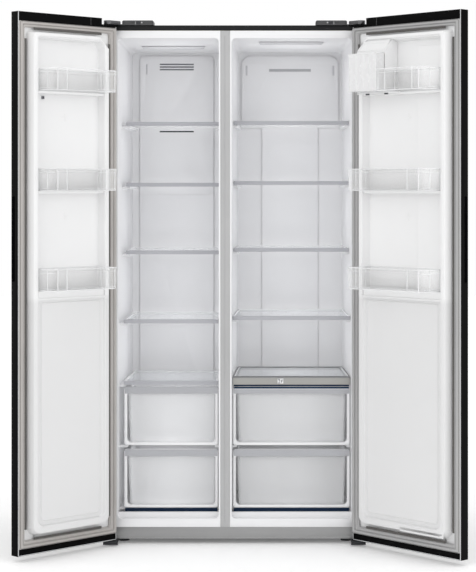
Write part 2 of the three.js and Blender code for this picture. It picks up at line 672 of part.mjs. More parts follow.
// ---------------------------------------------------------------- doors
// A door is drawn closed, in its own frame: X runs from its hinge edge to its free edge, Y = 0 is the
// inner face of its body with +Y into the cabinet, and Z is the cabinet's. The right door is its mirror.
function doorPanel(width) {
  const { skin, bodyThickness: thick } = door;
  const body = loft('z', [doorBottom, doorTop].map((z) => ({
    at: z, ring: ring([0, width], [-thick, 0], door.outerRadius, door.innerRadius),
  })));
  const hollow = block([skin, width - skin], [-thick + skin, THROUGH],
    [doorBottom + door.bottomCap, doorTop - door.topCap]);
  const pocketFloor = doorTop - hinge.pocketDepth;
  const pocket = block([-THROUGH, hinge.pocketWidth], [-thick - THROUGH, THROUGH],
    [pocketFloor, doorTop + THROUGH]);
  const pinY = hinge.inset - thick;
  const bores = [
    rod(hinge.boreRadius, [doorBottom - THROUGH, doorBottom + hinge.pinDepth + 2], hinge.inset, pinY),
    rod(hinge.boreRadius, [pocketFloor - hinge.pinDepth, doorTop], hinge.inset, pinY),
  ];
  const gripLow = doorBottom + recess.bottomRise + grip.rise;
  const gripZ = [gripLow, gripLow + grip.length];
  const gripN = [-thick + grip.lip, -thick + grip.lip + grip.width];
  const cup = block([width - grip.depth - grip.wall, width - skin / 2], [gripN[0] - 1, gripN[1] + grip.wall],
    [gripZ[0] - grip.wall, gripZ[1] + grip.wall]);
  const hand = block([width - grip.depth, width + THROUGH], gripN, gripZ);
  return cut(join(cut(body, hollow), cup), pocket, ...bores, hand);
}

// The raised bank around the door's inner side, with its crest rounded off.
function dikeBody(width) {
  const foot = [doorBottom + dike.footRise, doorTop - dike.footDrop];
  const head = [doorBottom + dike.topRise, doorTop - dike.topDrop];
  const crest = [head[0] + dike.crest, head[1] - dike.crest];
  const at = (n, us, zs, grow) => ({
    at: n, ring: ring(us, zs, dike.radius + grow, dike.chamfer + grow, 4, dike.freeCorner),
  });
  return loft('y', [
    at(-1, [dike.hingeFoot, width - dike.freeFoot], foot, 8),
    at(dike.height - dike.crest, [dike.hingeTop - 2, width - dike.freeTop + 1], head, 0),
    at(dike.height, [dike.hingeTop + 1, width - dike.freeTop - 2], crest, -2),
  ]);
}

function recessSpan(width) {
  return [dike.hingeTop + dike.width, width - dike.freeTop - dike.width];
}

const recessZs = [doorBottom + recess.bottomRise, doorTop - recess.topDrop];
const lowerZs = [doorBottom + recess.lowerRise, recessZs[0] - recess.sill];

// A tapered pocket in the liner; 'corner' gives the arguments an outline takes for its corners.
function recessBody(width, zs, floor, corner, clearance = 0) {
  const [u0, u1] = recessSpan(width);
  const at = (n, draft) => {
    const shrink = draft + clearance;
    return { at: n, ring: ring([u0 + shrink, u1 - shrink], [zs[0] + shrink, zs[1] - shrink], ...corner) };
  };
  return loft('y', [at(floor, recess.draft), at(dike.height + THROUGH, 0)]);
}

function shelfRecess(width, clearance = 0) {
  return recessBody(width, recessZs, recess.floor, [4, dike.chamfer, 1, dike.freeCorner], clearance);
}

const binBases = [recessZs[0] + bin.aboveSill, recessZs[1] - bin.belowTop];
const binBase = (level) => binBases[0] + (level / 2) * (binBases[1] - binBases[0]);

function gripClearance(width) {
  const around = grip.wall + GAP;
  const low = recessZs[0] + grip.rise - around;
  const inner = -door.bodyThickness + grip.lip + grip.width + around;
  return block([width - grip.depth - around, width], [-door.bodyThickness, inner],
    [low, low + grip.length + 2 * around]);
}

// The ledges the bins stand on; the lowest one rises straight from the recess's sill.
function binLedges(width) {
  const [u0, u1] = recessSpan(width);
  return [0, 1, 2].map((level) => {
    const top = binBase(level) - GAP;
    const low = level === 0 ? recessZs[0] - THROUGH : top - bin.ledgeHeight;
    const at = (z, reach) => ({
      at: z, ring: [[u0, recess.floor - 1], [u1, recess.floor - 1], [u1, reach], [u0, reach]],
    });
    return loft('z', [at(low, bin.ledgeDepth - bin.ledgeSlope), at(top, bin.ledgeDepth)]);
  });
}

function doorLiner(width) {
  const inset = door.skin + GAP;
  const core = block([inset, width - inset], [-door.bodyThickness + inset, 0],
    [doorBottom + door.bottomCap + GAP, doorTop - door.topCap - GAP]);
  const lower = recessBody(width, lowerZs, recess.lowerFloor, [dike.radius, 6]);
  const body = cut(join(core, dikeBody(width)), shelfRecess(width), lower, gripClearance(width));
  return join(body, ...binLedges(width));
}

function doorGasket(width) {
  const g = gasket;
  const zs = [doorBottom + door.bottomCap + GAP, doorTop - door.topCap - GAP];
  const outer = loft('y', [
    { at: g.base, ring: ring([g.edge, width - g.edge], zs, 2) },
    { at: g.height, ring: ring([g.hingeLip, width - g.lip], [zs[0] + g.lip, zs[1] - g.lip], 4) },
  ]);
  const u = [g.hingeInner, width - g.freeInner];
  const z = [zs[0] + g.capInner, zs[1] - g.capInner + 6];
  const hole = block(u, [-THROUGH, g.height + THROUGH], z);
  const level = [g.finLevel, g.finLevel + g.finThickness];
  const corner = g.cornerLength;
  const fins = [
    block([u[0] - 1, u[0] + g.finWidth], level, [z[0] + corner, z[1] - corner]),
    block([u[1] - g.finWidth + 1, u[1] + 1], level, [z[0] + corner, z[1] - corner]),
    block([u[0] + corner, u[1] - corner], level, [z[0] - 1, z[0] + g.finWidth]),
    block([u[0] + corner, u[1] - corner], level, [z[1] - g.finWidth, z[1] + 1]),
  ];
  return join(cut(outer, hole), ...fins);
}

// An open-topped tray between two places along the door. Z = 0 is its bottom.
function doorBin([u0, u1], front) {
  const section = (z, inset, shrink) => ({
    at: z,
    ring: ring([u0 + inset + shrink / 2, u1 - inset - shrink / 2],
      [bin.back + inset, front - inset - shrink], bin.backRadius, bin.frontRadius),
  });
  const outer = loft('z', [section(0, 0, bin.draft), section(bin.height, 0, 0)]);
  const inner = loft('z', [section(bin.wall, bin.wall, bin.draft), section(bin.height + THROUGH, bin.wall, 0)]);
  return cut(outer, inner);
}

function binSpan(width, from = 0) {
  const [u0, u1] = recessSpan(width);
  return [Math.max(u0 + recess.draft, from) + bin.inset, u1 - recess.draft - bin.inset];
}

const dairySpan = (width) => {
  const [u0] = binSpan(width);
  return [u0, u0 + dairy.width];
};

// A deep tub against the door with a sloped roof; its front is closed by the ribbed flap.
function dairyHousing(width) {
  const [u0, u1] = dairySpan(width);
  const { wall, height, slope, housingFront: front } = dairy;
  const eaves = height + dairy.brow;
  const profile = (inset, back, reach) => new THREE.Shape([
    [back, inset],
    [reach, inset],
    [reach, eaves - inset],
    [reach - slope, eaves + slope - 1.4 * inset],
    [back, eaves + slope - 1.4 * inset],
  ].map(([n, z]) => new THREE.Vector2(n, z)));
  const prism = (shape, a, b) => {
    const body = new THREE.ExtrudeGeometry(shape, { depth: b - a, bevelEnabled: false });
    const basis = new THREE.Matrix4().makeBasis(
      new THREE.Vector3(0, 1, 0), new THREE.Vector3(0, 0, 1), new THREE.Vector3(1, 0, 0),
    );
    return body.applyMatrix4(basis).translate(a, 0, 0);
  };
  const outer = prism(profile(0, bin.back, front), u0, u1);
  const inner = prism(profile(wall, bin.back + wall, front + 20), u0 + wall, u1 - wall);
  const base = binBase(2);
  const dikeLevel = block([0, width], [0, dike.height + GAP], [-recessZs[0], recessZs[1]]);
  const insideDike = shelfRecess(width, GAP).translate(0, 0, -base);
  const brow = block([u0 - THROUGH, u1 + THROUGH], [front - wall, front + THROUGH],
    [height - 2, eaves + slope]);
  const roofEdge = block([u0, u1], [front - wall - 1, front], [height - 3, eaves - 1]);
  return cut(join(cut(outer, inner, brow), roofEdge), cut(dikeLevel, insideDike));
}

// The flap is drawn shut, about its hinge line along the top back edge.
function dairyFlap(width) {
  const [u0, u1] = dairySpan(width);
  const { coverBack, coverFront, wall, height, rib } = dairy;
  const outer = block([u0 - 1, u1 + 1], [coverBack, coverFront], [2, height]);
  const inner = block([u0 - 1 + wall, u1 + 1 - wall], [coverBack - THROUGH, coverFront - wall],
    [2 + wall, height - wall]);
  const ribs = flapRibs.map((share) => {
    const u = u0 + share * dairy.width;
    return block([u - rib / 2, u + rib / 2], [coverFront - 1, coverFront + dairy.ribHeight], [8, height - 6]);
  });
  return join(cut(outer, inner), ...ribs);
}

function doorGroup(side) {
  const left = side === 'left';
  const width = doorWidth[side];
  const sign = left ? 1 : -1;
  const swing = new THREE.Group();
  swing.position.set(-sign * (halfWidth - hinge.inset), hingeY, 0);
  swing.rotation.z = -sign * THREE.MathUtils.degToRad(openAngle[side]);
  const leaf = new THREE.Group();
  leaf.position.set(-sign * hinge.inset, -door.gasketGap - hingeY, 0);
  swing.add(leaf);
  const add = (name, shape, material, z = 0) => {
    const mesh = named(name, shape, material, !left);
    mesh.position.z = z;
    leaf.add(mesh);
  };
  add(`${side}_door_panel`, doorPanel(width), look.blackGlass);
  add(`${side}_door_liner`, doorLiner(width), look.white);
  add(`${side}_door_gasket`, doorGasket(width), look.gasket);
  for (const level of [0, 1, 2]) {
    const besideDairy = !left && level === 2;
    const from = besideDairy ? dairySpan(width)[1] + 2 : 0;
    const tray = doorBin(binSpan(width, from), bin.front[side]);
    add(`${side}_door_bin_${3 - level}`, tray, look.clear, binBase(level));
  }
  if (!left) {
    add('dairy_housing', dairyHousing(width), look.white, binBase(2));
    add('dairy_flap', dairyFlap(width), look.clear, binBase(2));
  }
  return swing;
}

// ---------------------------------------------------------------- hinges
function topHinge() {
  const pinX = -halfWidth + hinge.inset;
  const base = cabinet.top + GAP;
  const outline = new THREE.Shape();
  outline.moveTo(pinX - hingeArm.outer, 0);
  outline.lineTo(pinX - hingeArm.outer, hingeY);
  outline.absarc(pinX, hingeY, hingeArm.noseRadius, Math.PI, 1.85 * Math.PI, false);
  outline.lineTo(pinX + hingeArm.inner, -door.gasketGap + 2);
  outline.lineTo(pinX + hingeArm.inner, 8);
  outline.lineTo(pinX - hingeArm.outer, 8);
  outline.closePath();
  const nose = new THREE.ExtrudeGeometry(outline,
    { depth: hingeArm.noseHeight, bevelEnabled: false, curveSegments: 8 });
  nose.translate(0, 0, base);
  const plate = block([pinX - hingeArm.outer, pinX - hingeArm.outer + hingeArm.width], [2, hingeArm.back],
    [base, base + hingeArm.thickness]);
  const pinLow = doorTop - hinge.pocketDepth - hinge.pinDepth + 2;
  return join(nose, plate, rod(hinge.pinRadius, [pinLow, base + 2], pinX, hingeY));
}

function topHingeCover() {
  const x0 = -halfWidth + hinge.inset + hingeCover.from;
  const { length, front, back, height, wall } = hingeCover;
  const base = cabinet.top + GAP;
  const at = (z, inset) => ({
    at: z, ring: ring([x0 + inset, x0 + length - inset], [front + inset, back - inset], hingeCover.radius),
  });
  const shell = loft('z', [
    at(base, 0),
    at(base + height - hingeCover.bevel, 0),
    at(base + height, hingeCover.bevel),
  ]);
  const hollow = block([x0 - THROUGH, x0 + length - wall], [0, back - wall],
    [base - THROUGH, base + height - wall - 2]);
  const slot = block([x0 + coverSlot.from, x0 + coverSlot.to], [front - THROUGH, front + coverSlot.depth],
    [base + coverSlot.low, base + coverSlot.high]);
  return cut(shell, hollow, slot);
}

function bottomHinge() {
  const pinX = -halfWidth + hinge.inset;
  const h = lowerHinge;
  const top = cabinet.bottom - h.drop;
  const plateTop = doorBottom - 1.2;
  const xs = [pinX - h.outer, pinX + h.inner];
  const plate = block(xs, [h.front, h.back], [top - h.thickness, top]);
  const lip = block(xs, [h.front, h.front + 3], [top - h.thickness - h.lip, top]);
  const pin = rod(hinge.pinRadius, [top - 1, doorBottom + hinge.pinDepth], pinX, hingeY);
  const washer = rod(hinge.pinRadius + 4, [top - 1, plateTop], pinX, hingeY);
  return join(plate, lip, pin, washer);
}

// ---------------------------------------------------------------- the whole refrigerator
function placed(mesh, x, y, z) {
  mesh.position.set(x, y, z);
  return mesh;
}

function build() {
  const root = new THREE.Group();
  root.add(
    named('cabinet_shell', cabinetShell(), look.blackPaint),
    named('back_panel', backPanel(), look.steel),
    named('insulation_foam', insulationFoam(), look.foam),
    named('base_tray', baseTray(), look.darkGrey),
    named('rear_cover', rearPanel(), look.darkGrey),
    named('freezer_liner', linerShell(freezer), look.white),
    named('fridge_liner', linerShell(fridge), look.white),
    named('centre_mullion', centreMullion(), look.grey),
    named('bottom_rail', bottomRail(), look.grey),
    named('freezer_duct_cover', freezerDuctCover(), look.white),
    named('fridge_duct_cover', fridgeDuctCover(), look.white),
    named('freezer_lamp_lens', lampLens(freezer, lamp.freezerY), look.clear),
    named('fridge_lamp_lens', lampLens(fridge, lamp.fridgeY), look.clear),
    named('evaporator', evaporatorBlock(), look.steel),
    ...pair('top_hinge', topHinge(), look.steel),
    ...pair('hinge_cover', topHingeCover(), look.blackPaint),
    ...pair('bottom_hinge', bottomHinge(), look.darkGrey),
  );
  const fanX = (freezerCover.x[0] + freezerCover.x[1]) / 2;
  root.add(placed(named('evaporator_fan', evaporatorFan(), look.darkGrey), fanX, fan.y, fan.z));
  const potZ = cabinet.bottom + cabinet.skin + GAP;
  root.add(placed(named('compressor', compressorPot(), look.darkGrey), compressor.x, compressor.y, potZ));
  for (const [name, side] of [['left', -1], ['right', 1]]) {
    const stand = named(`front_foot_${name}`, levellingFoot(), look.darkGrey);
    const wheel = named(`rear_roller_${name}`, rearRoller(), look.darkGrey);
    root.add(placed(stand, side * (halfWidth - foot.inset), foot.y, 0));
    root.add(placed(wheel, side * (halfWidth - roller.inset), roller.y, roller.radius));
  }
  for (const room of [freezer, fridge]) {
    for (const level of shelfShares.keys()) {
      root.add(shelfMesh(room, level));
    }
    root.add(...drawersOf(room));
  }
  const plain = framedShelf(freezer, shelf.lowerFront, cover.back, cover.freezerBar);
  root.add(placed(named('freezer_drawer_cover', plain, look.glass), 0, 0, coverTop.freezer));
  root.add(placed(named('crisper_cover', crisperCover(), look.glass), 0, 0, coverTop.fridge));
  root.add(placed(named('humidity_slider', humiditySlider(), look.white),
    fridge.x0 + knob.fromLeft, shelf.lowerFront, coverTop.fridge - cover.fridgeBar / 2));
  root.add(doorGroup('left'), doorGroup('right'));
  return root;
}

// The origin is the middle of the whole object's footprint, on the floor.
function centred(root) {
  root.updateMatrixWorld(true);
  const middle = new THREE.Box3().setFromObject(root, true).getCenter(new THREE.Vector3());
  root.position.set(-middle.x, -middle.y, 0);
  return root;
}

export default centred(build());
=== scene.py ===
# The looks of a side by side refrigerator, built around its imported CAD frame.
import json
import math

import bmesh
import bpy
from mathutils import Matrix, Vector


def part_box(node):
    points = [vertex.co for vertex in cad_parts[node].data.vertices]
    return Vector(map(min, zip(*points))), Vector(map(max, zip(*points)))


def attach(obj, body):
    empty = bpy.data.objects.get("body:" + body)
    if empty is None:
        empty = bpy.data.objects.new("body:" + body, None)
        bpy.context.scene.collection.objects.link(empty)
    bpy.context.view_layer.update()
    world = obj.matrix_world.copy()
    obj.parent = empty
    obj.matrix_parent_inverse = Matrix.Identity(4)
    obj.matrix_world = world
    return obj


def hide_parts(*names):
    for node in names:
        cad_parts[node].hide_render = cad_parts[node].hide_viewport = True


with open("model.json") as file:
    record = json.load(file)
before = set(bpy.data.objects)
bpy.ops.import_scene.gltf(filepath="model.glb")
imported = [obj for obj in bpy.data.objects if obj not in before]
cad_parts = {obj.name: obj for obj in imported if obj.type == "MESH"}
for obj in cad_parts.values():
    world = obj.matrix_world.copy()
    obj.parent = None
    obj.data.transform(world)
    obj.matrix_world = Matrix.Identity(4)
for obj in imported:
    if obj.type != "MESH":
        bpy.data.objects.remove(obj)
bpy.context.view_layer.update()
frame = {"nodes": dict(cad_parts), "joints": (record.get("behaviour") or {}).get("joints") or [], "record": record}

# Lengths are millimetres: of the cabinet from its middle, its front plane and the floor, and of a door
# from its hinge edge (u), its body's inner face (n, into the cabinet when shut) and the floor (z).
MM = 0.001

JOINTS = {joint["name"]: joint for joint in frame["joints"]}
RECORD = frame["record"]
SHELL_LOW, SHELL_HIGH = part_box("cabinet_shell")
FRONT = SHELL_LOW.y
CENTRE_X = (SHELL_LOW.x + SHELL_HIGH.x) / 2
HALF_WIDTH = (SHELL_HIGH.x - SHELL_LOW.x) / 2 / MM


# ------------------------------------------------------------------ places
def cabinet(x, y, z):
    return Vector((CENTRE_X + x * MM, FRONT + y * MM, z * MM))


def box_of(node):
    """A cabinet node's x, y and z ranges."""
    low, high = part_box(node)
    return (
        ((low.x - CENTRE_X) / MM, (high.x - CENTRE_X) / MM),
        ((low.y - FRONT) / MM, (high.y - FRONT) / MM),
        (low.z / MM, high.z / MM),
    )


def side_to_side(node, y, reach=0.6):
    """A node's left and right sides at a depth: it narrows with the cavity."""
    xs = [
        (v.co.x - CENTRE_X) / MM
        for v in frame["nodes"][node].data.vertices
        if abs((v.co.y - FRONT) / MM - y) < reach
    ]
    return min(xs), max(xs)


class Door:
    """A door's own frame, and where its CAD nodes are in it."""

    BODY_INNER = -16.0  # the hinge pin's n

    def __init__(self, side):
        joint = JOINTS[f"{side}_door_hinge"]
        self.side = side
        self.body = f"{side}_door"
        self.sign = 1.0 if side == "left" else -1.0
        self.pin = Vector(joint["pos_m"])
        self.inset = HALF_WIDTH - abs(self.pin.x - CENTRE_X) / MM
        opened = -math.radians(joint["range_deg"][0])
        self.turn = Matrix.Rotation(opened, 3, Vector(joint["axis"]))
        self.u, self.n, self.z = self.extent(f"{side}_door_panel")
        self.width = self.u[1]

    def place(self, u, n, z):
        local = Vector((self.sign * (u - self.inset), n - self.BODY_INNER, 0)) * MM
        spot = self.turn @ local
        return Vector((self.pin.x + spot.x, self.pin.y + spot.y, z * MM))

    def extent(self, node):
        back = self.turn.inverted()
        spots = [back @ (v.co - self.pin) / MM for v in frame["nodes"][node].data.vertices]
        us = [self.sign * s.x + self.inset for s in spots]
        ns = [s.y + self.BODY_INNER for s in spots]
        zs = [s.z + self.pin.z / MM for s in spots]
        return (min(us), max(us)), (min(ns), max(ns)), (min(zs), max(zs))


DOORS = {side: Door(side) for side in ("left", "right")}


# ------------------------------------------------------------------ materials
def material(name):
    mat = bpy.data.materials.new(name)
    mat.use_nodes = True
    tree = mat.node_tree
    return mat, tree, tree.nodes["Principled BSDF"]


def noise(tree, scale, detail=4.0, roughness=0.55, stretch=(1, 1, 1)):
    coords = tree.nodes.new("ShaderNodeTexCoord")
    mapping = tree.nodes.new("ShaderNodeMapping")
    mapping.inputs["Scale"].default_value = stretch
    tex = tree.nodes.new("ShaderNodeTexNoise")
    tex.inputs["Scale"].default_value = scale
    tex.inputs["Detail"].default_value = detail
    tex.inputs["Roughness"].default_value = roughness
    tree.links.new(coords.outputs["Object"], mapping.inputs["Vector"])
    tree.links.new(mapping.outputs["Vector"], tex.inputs["Vector"])
    return tex.outputs["Fac"]


def ramp(tree, value, stops):
    node = tree.nodes.new("ShaderNodeValToRGB")
    elements = node.color_ramp.elements
    while len(elements) < len(stops):
        elements.new(0.5)
    for element, (at, colour) in zip(elements, stops):
        element.position = at
        element.color = (*colour, 1.0)
    tree.links.new(value, node.inputs["Fac"])
    return node.outputs["Color"]


def spread(tree, value, low, high):
    node = tree.nodes.new("ShaderNodeMapRange")
    node.inputs["To Min"].default_value = low
    node.inputs["To Max"].default_value = high
    tree.links.new(value, node.inputs["Value"])
    return node.outputs["Result"]


def bump(tree, value, strength, distance):
    node = tree.nodes.new("ShaderNodeBump")
    node.inputs["Strength"].default_value = strength
    node.inputs["Distance"].default_value = distance
    tree.links.new(value, node.inputs["Height"])
    return node.outputs["Normal"]


def scaled(colour, k):
    return tuple(min(1.0, c * k) for c in colour)


def dimmed_below(tree, colour, level, share):
    """A colour that is darker under a height."""
    coords = tree.nodes.new("ShaderNodeTexCoord")
    parts = tree.nodes.new("ShaderNodeSeparateXYZ")
    tree.links.new(coords.outputs["Object"], parts.inputs["Vector"])
    fade = tree.nodes.new("ShaderNodeMapRange")
    fade.inputs["From Min"].default_value = level - 0.01
    fade.inputs["From Max"].default_value = level + 0.01
    fade.inputs["To Min"].default_value = share
    fade.inputs["To Max"].default_value = 1.0
    tree.links.new(parts.outputs["Z"], fade.inputs["Value"])
    mix = tree.nodes.new("ShaderNodeVectorMath")
    mix.operation = "SCALE"
    tree.links.new(colour, mix.inputs["Vector"])
    tree.links.new(fade.outputs["Result"], mix.inputs["Scale"])
    return mix.outputs["Vector"]


def moulded(name, colour, roughness, variation=0.04, grain=900.0, depth=0.00004, uneven=0.08, specular=0.5,
            below=None):
    """Moulded plastic or paint: slow colour drift, a fine grain in the surface, uneven gloss."""
    mat, tree, shader = material(name)
    drift = noise(tree, 2.2, 3.0)
    base = ramp(tree, drift, [(0.3, scaled(colour, 1 - variation)), (0.7, scaled(colour, 1 + variation))])
    if below:
        base = dimmed_below(tree, base, *below)
    tree.links.new(base, shader.inputs["Base Color"])
    smear = noise(tree, 11.0, 5.0, 0.6)
    tree.links.new(spread(tree, smear, roughness - uneven, roughness + uneven), shader.inputs["Roughness"])
    tree.links.new(bump(tree, noise(tree, grain, 2.0), 0.35, depth), shader.inputs["Normal"])
    shader.inputs["Specular IOR Level"].default_value = specular
    return mat


def see_through(name, colour, roughness, clear, edge, variation=0.03):
    """Clear plastic or glass: nearly unseen face on, whiter and glossier at a glancing angle."""
    mat, tree, shader = material(name)
    drift = noise(tree, 9.0, 3.0)
    base = ramp(tree, drift, [(0.3, scaled(colour, 1 - variation)), (0.7, colour)])
    tree.links.new(base, shader.inputs["Base Color"])
    gloss = spread(tree, noise(tree, 40.0, 4.0), roughness * 0.6, roughness * 1.5)
    tree.links.new(gloss, shader.inputs["Roughness"])
    facing = tree.nodes.new("ShaderNodeLayerWeight")
    facing.inputs["Blend"].default_value = 0.35
    tree.links.new(spread(tree, facing.outputs["Facing"], clear, edge), shader.inputs["Alpha"])
    tree.links.new(bump(tree, noise(tree, 300.0, 2.0), 0.2, 0.00003), shader.inputs["Normal"])
    return mat


def metal(name, colour, roughness, stretch=(1, 1, 40)):
    """Brushed or rolled metal, streaked across the stretched axis."""
    mat, tree, shader = material(name)
    streaks = noise(tree, 60.0, 3.0, 0.6, stretch)
    base = ramp(tree, streaks, [(0.25, scaled(colour, 0.86)), (0.75, scaled(colour, 1.1))])
    tree.links.new(base, shader.inputs["Base Color"])
    tree.links.new(spread(tree, streaks, roughness * 0.75, roughness * 1.3), shader.inputs["Roughness"])
    tree.links.new(bump(tree, streaks, 0.15, 0.00005), shader.inputs["Normal"])
    shader.inputs["Metallic"].default_value = 1.0
    return mat


def glowing(name, colour, strength):
    """A lamp's frosted lens with a faint light of its own."""
    mat = moulded(name, colour, 0.4, 0.02)
    shader = mat.node_tree.nodes["Principled BSDF"]
    shader.inputs["Emission Color"].default_value = (*colour, 1.0)
    shader.inputs["Emission Strength"].default_value = strength
    return mat


MATS = {
    "black_paint": moulded("black_paint", (0.008, 0.0082, 0.009), 0.45, 0.12, specular=0.2),
    "door_glass": moulded("door_glass", (0.006, 0.006, 0.0075), 0.12, 0.15, 300.0, 0.00001, 0.04),
    "door_edge": moulded("door_edge", (0.003, 0.003, 0.0032), 0.55, 0.2, specular=0.03),
    "edge_line": moulded("edge_line", (0.62, 0.63, 0.64), 0.3, 0.06),
    "steel": metal("steel", (0.42, 0.42, 0.43), 0.38),
    "hinge_metal": metal("hinge_metal", (0.13, 0.13, 0.135), 0.36, (1, 1, 1)),
    "hinge_grey": moulded("hinge_grey", (0.06, 0.06, 0.062), 0.42, 0.15, specular=0.35),
    "dark_metal": moulded("dark_metal", (0.02, 0.021, 0.024), 0.5, 0.2, specular=0.3),
    "foam": moulded("foam", (0.72, 0.62, 0.33), 0.9, 0.1, 220.0, 0.0004),
    "liner_white": moulded("liner_white", (0.80, 0.80, 0.812), 0.36, 0.012, 700.0, 0.00002),
    "door_white": moulded("door_white", (0.80, 0.80, 0.802), 0.38, 0.012, 700.0, 0.00002, specular=0.3,
                          below=(0.843, 0.885)),
    "frame_white": moulded("frame_white", (0.84, 0.84, 0.85), 0.34, 0.02, 700.0, 0.00002),
    "mullion_grey": moulded("mullion_grey", (0.43, 0.43, 0.433), 0.44, 0.04, specular=0.3),
    "rail_grey": moulded("rail_grey", (0.30, 0.30, 0.301), 0.44, 0.06, specular=0.35),
    "shelf_grey": moulded("shelf_grey", (0.40, 0.402, 0.43), 0.38, 0.05, specular=0.4),
    "band_grey": metal("band_grey", (0.41, 0.414, 0.435), 0.36, (1, 40, 60)),
    "bar_grey": metal("bar_grey", (0.36, 0.358, 0.345), 0.34, (1, 40, 60)),
    # The same rubber twice: a lighter, warmer colour for the left door's gasket and a darker grey copy for the
    # right's, painted light and shade for how each door is lit.
    "gasket": moulded("gasket", (0.42, 0.40, 0.385), 0.62, 0.06, 500.0, 0.00008, specular=0.2),
    "gasket_shaded_copy": moulded("gasket_shaded_copy", (0.38, 0.378, 0.378), 0.62, 0.06, 500.0, 0.00008, specular=0.2),
    # Near-black rubber for the inner flap's fins and the bulb's crease line: painted shade for the shadow there.
    "gasket_painted_shade": moulded("gasket_painted_shade", (0.11, 0.105, 0.10), 0.7, 0.1, 500.0, 0.00008, specular=0.15),
    "clear_plastic": see_through("clear_plastic", (0.98, 0.982, 0.985), 0.12, 0.04, 0.36),
    "clear_edge": see_through("clear_edge", (0.96, 0.965, 0.975), 0.15, 0.5, 0.95),
    "frosted": see_through("frosted", (0.93, 0.935, 0.95), 0.3, 0.42, 0.75),
    "flap_white": see_through("flap_white", (0.90, 0.90, 0.905), 0.25, 0.72, 0.97),
    "shelf_glass": see_through("shelf_glass", (0.84, 0.87, 0.90), 0.05, 0.10, 0.45),
    "glass_edge": see_through("glass_edge", (0.55, 0.66, 0.68), 0.1, 0.5, 0.9),
    "lens": glowing("lens", (0.60, 0.60, 0.62), 0.02),
    # Navy for strips in the gaps above and below the drawers: painted shadow.
    "navy_painted_shadow": moulded("navy_painted_shadow", (0.005, 0.022, 0.06), 0.5, 0.2, specular=0.2),
    "wire": moulded("wire", (0.015, 0.015, 0.02), 0.4, 0.2),
    # Greys for flat sheets behind the duct covers' slots: painted shade for the dark seen through them. The
    # darkest also colours a screw plug and the crisper bar's line, and the middle one a seam on the dairy hood.
    "slot_shade": moulded("slot_shade", (0.16, 0.16, 0.18), 0.7, 0.1),
    "slot_grey": moulded("slot_grey", (0.46, 0.46, 0.48), 0.7, 0.06),
    "pale_painted_slot_shade": moulded("pale_painted_slot_shade", (0.62, 0.62, 0.64), 0.7, 0.06),
    "dark_plastic": moulded("dark_plastic", (0.03, 0.03, 0.034), 0.55, 0.2),
}


# ------------------------------------------------------------------ making pieces
def mesh_of(name, points, faces):
    mesh = bpy.data.meshes.new(name)
    mesh.from_pydata([tuple(p) for p in points], [], faces)
    bm = bmesh.new()
    bm.from_mesh(mesh)
    bmesh.ops.remove_doubles(bm, verts=bm.verts, dist=1e-6)
    bmesh.ops.recalc_face_normals(bm, faces=bm.faces)
    bm.to_mesh(mesh)
    bm.free()
    return mesh


def plate(name, low, high):
    """Two faces through equal rings of points, for a floor whose edge is drawn by its walls."""
    count = len(low)
    return mesh_of(name, low + high, [tuple(range(count)), tuple(range(2 * count - 1, count - 1, -1))])


def skinned(name, place, rows, loop=False):
    """A surface through rows of points with equal counts. A loop's rows close on themselves."""
    count = len(rows[0])
    points = [place(*p) for row in rows for p in row]
    faces = []
    for r in range(len(rows) - 1):
        for c in range(count if loop else count - 1):
            a, b = r * count + c, r * count + (c + 1) % count
            faces.append((a, b, b + count, a + count))
    return mesh_of(name, points, faces)


def blocks(name, place, boxes):
    """Boxes as one mesh. A box is its ranges along the three axes, or with two first ranges, one for
    each end of the second axis, so that it tapers."""
    points, faces = [], []
    for first, second, third in boxes:
        near, far = first if isinstance(first[0], tuple) else (first, first)
        base = len(points)
        for c in third:
            points += [place(a, b, c) for a, b in (
                (near[0], second[0]), (near[1], second[0]), (far[1], second[1]), (far[0], second[1]))]
        faces += [tuple(base + i for i in quad) for quad in (
            (0, 1, 2, 3), (4, 5, 6, 7), (0, 1, 5, 4), (1, 2, 6, 5), (2, 3, 7, 6), (3, 0, 4, 7))]
    mesh = bpy.data.meshes.new(name)
    mesh.from_pydata([tuple(p) for p in points], [], faces)
    bm = bmesh.new()
    bm.from_mesh(mesh)
    bmesh.ops.recalc_face_normals(bm, faces=bm.faces)
    bm.to_mesh(mesh)
    bm.free()
    return mesh


def tube(name, place, path, radius, loop=True, sides=8):
    """A round bar along a path."""
    curve = bpy.data.curves.new(name, "CURVE")
    curve.dimensions = "3D"
    curve.bevel_depth = radius * MM
    curve.bevel_resolution = sides // 4
    spline = curve.splines.new("POLY")
    spline.points.add(len(path) - 1)
    for point, spot in zip(spline.points, path):
        point.co = (*place(*spot), 1.0)
    spline.use_cyclic_u = loop
    holder = bpy.data.objects.new(name, curve)
    mesh = bpy.data.meshes.new_from_object(holder)
    bpy.data.objects.remove(holder)
    bpy.data.curves.remove(curve)
    return mesh


def rounded(u, z, low, high=None, steps=6):
    """The outline of a rectangle with rounded corners, from its upper right corner round."""
    high = low if high is None else high
    corners = ((u[1], z[1], high, 0), (u[0], z[1], high, 1), (u[0], z[0], low, 2), (u[1], z[0], low, 3))
    points = []
    for cu, cz, radius, quarter in corners:
        across = -1 if quarter in (0, 3) else 1
        along = -1 if quarter in (0, 1) else 1
        for i in range(steps + 1):
            angle = (quarter + i / steps) * math.pi / 2
            points.append((
                cu + across * radius + radius * math.cos(angle),
                cz + along * radius + radius * math.sin(angle),
            ))
    return points


def joined(name, *meshes):
    bm = bmesh.new()
    for mesh in meshes:
        bm.from_mesh(mesh)
        bpy.data.meshes.remove(mesh)
    mesh = bpy.data.meshes.new(name)
    bm.to_mesh(mesh)
    bm.free()
    return mesh


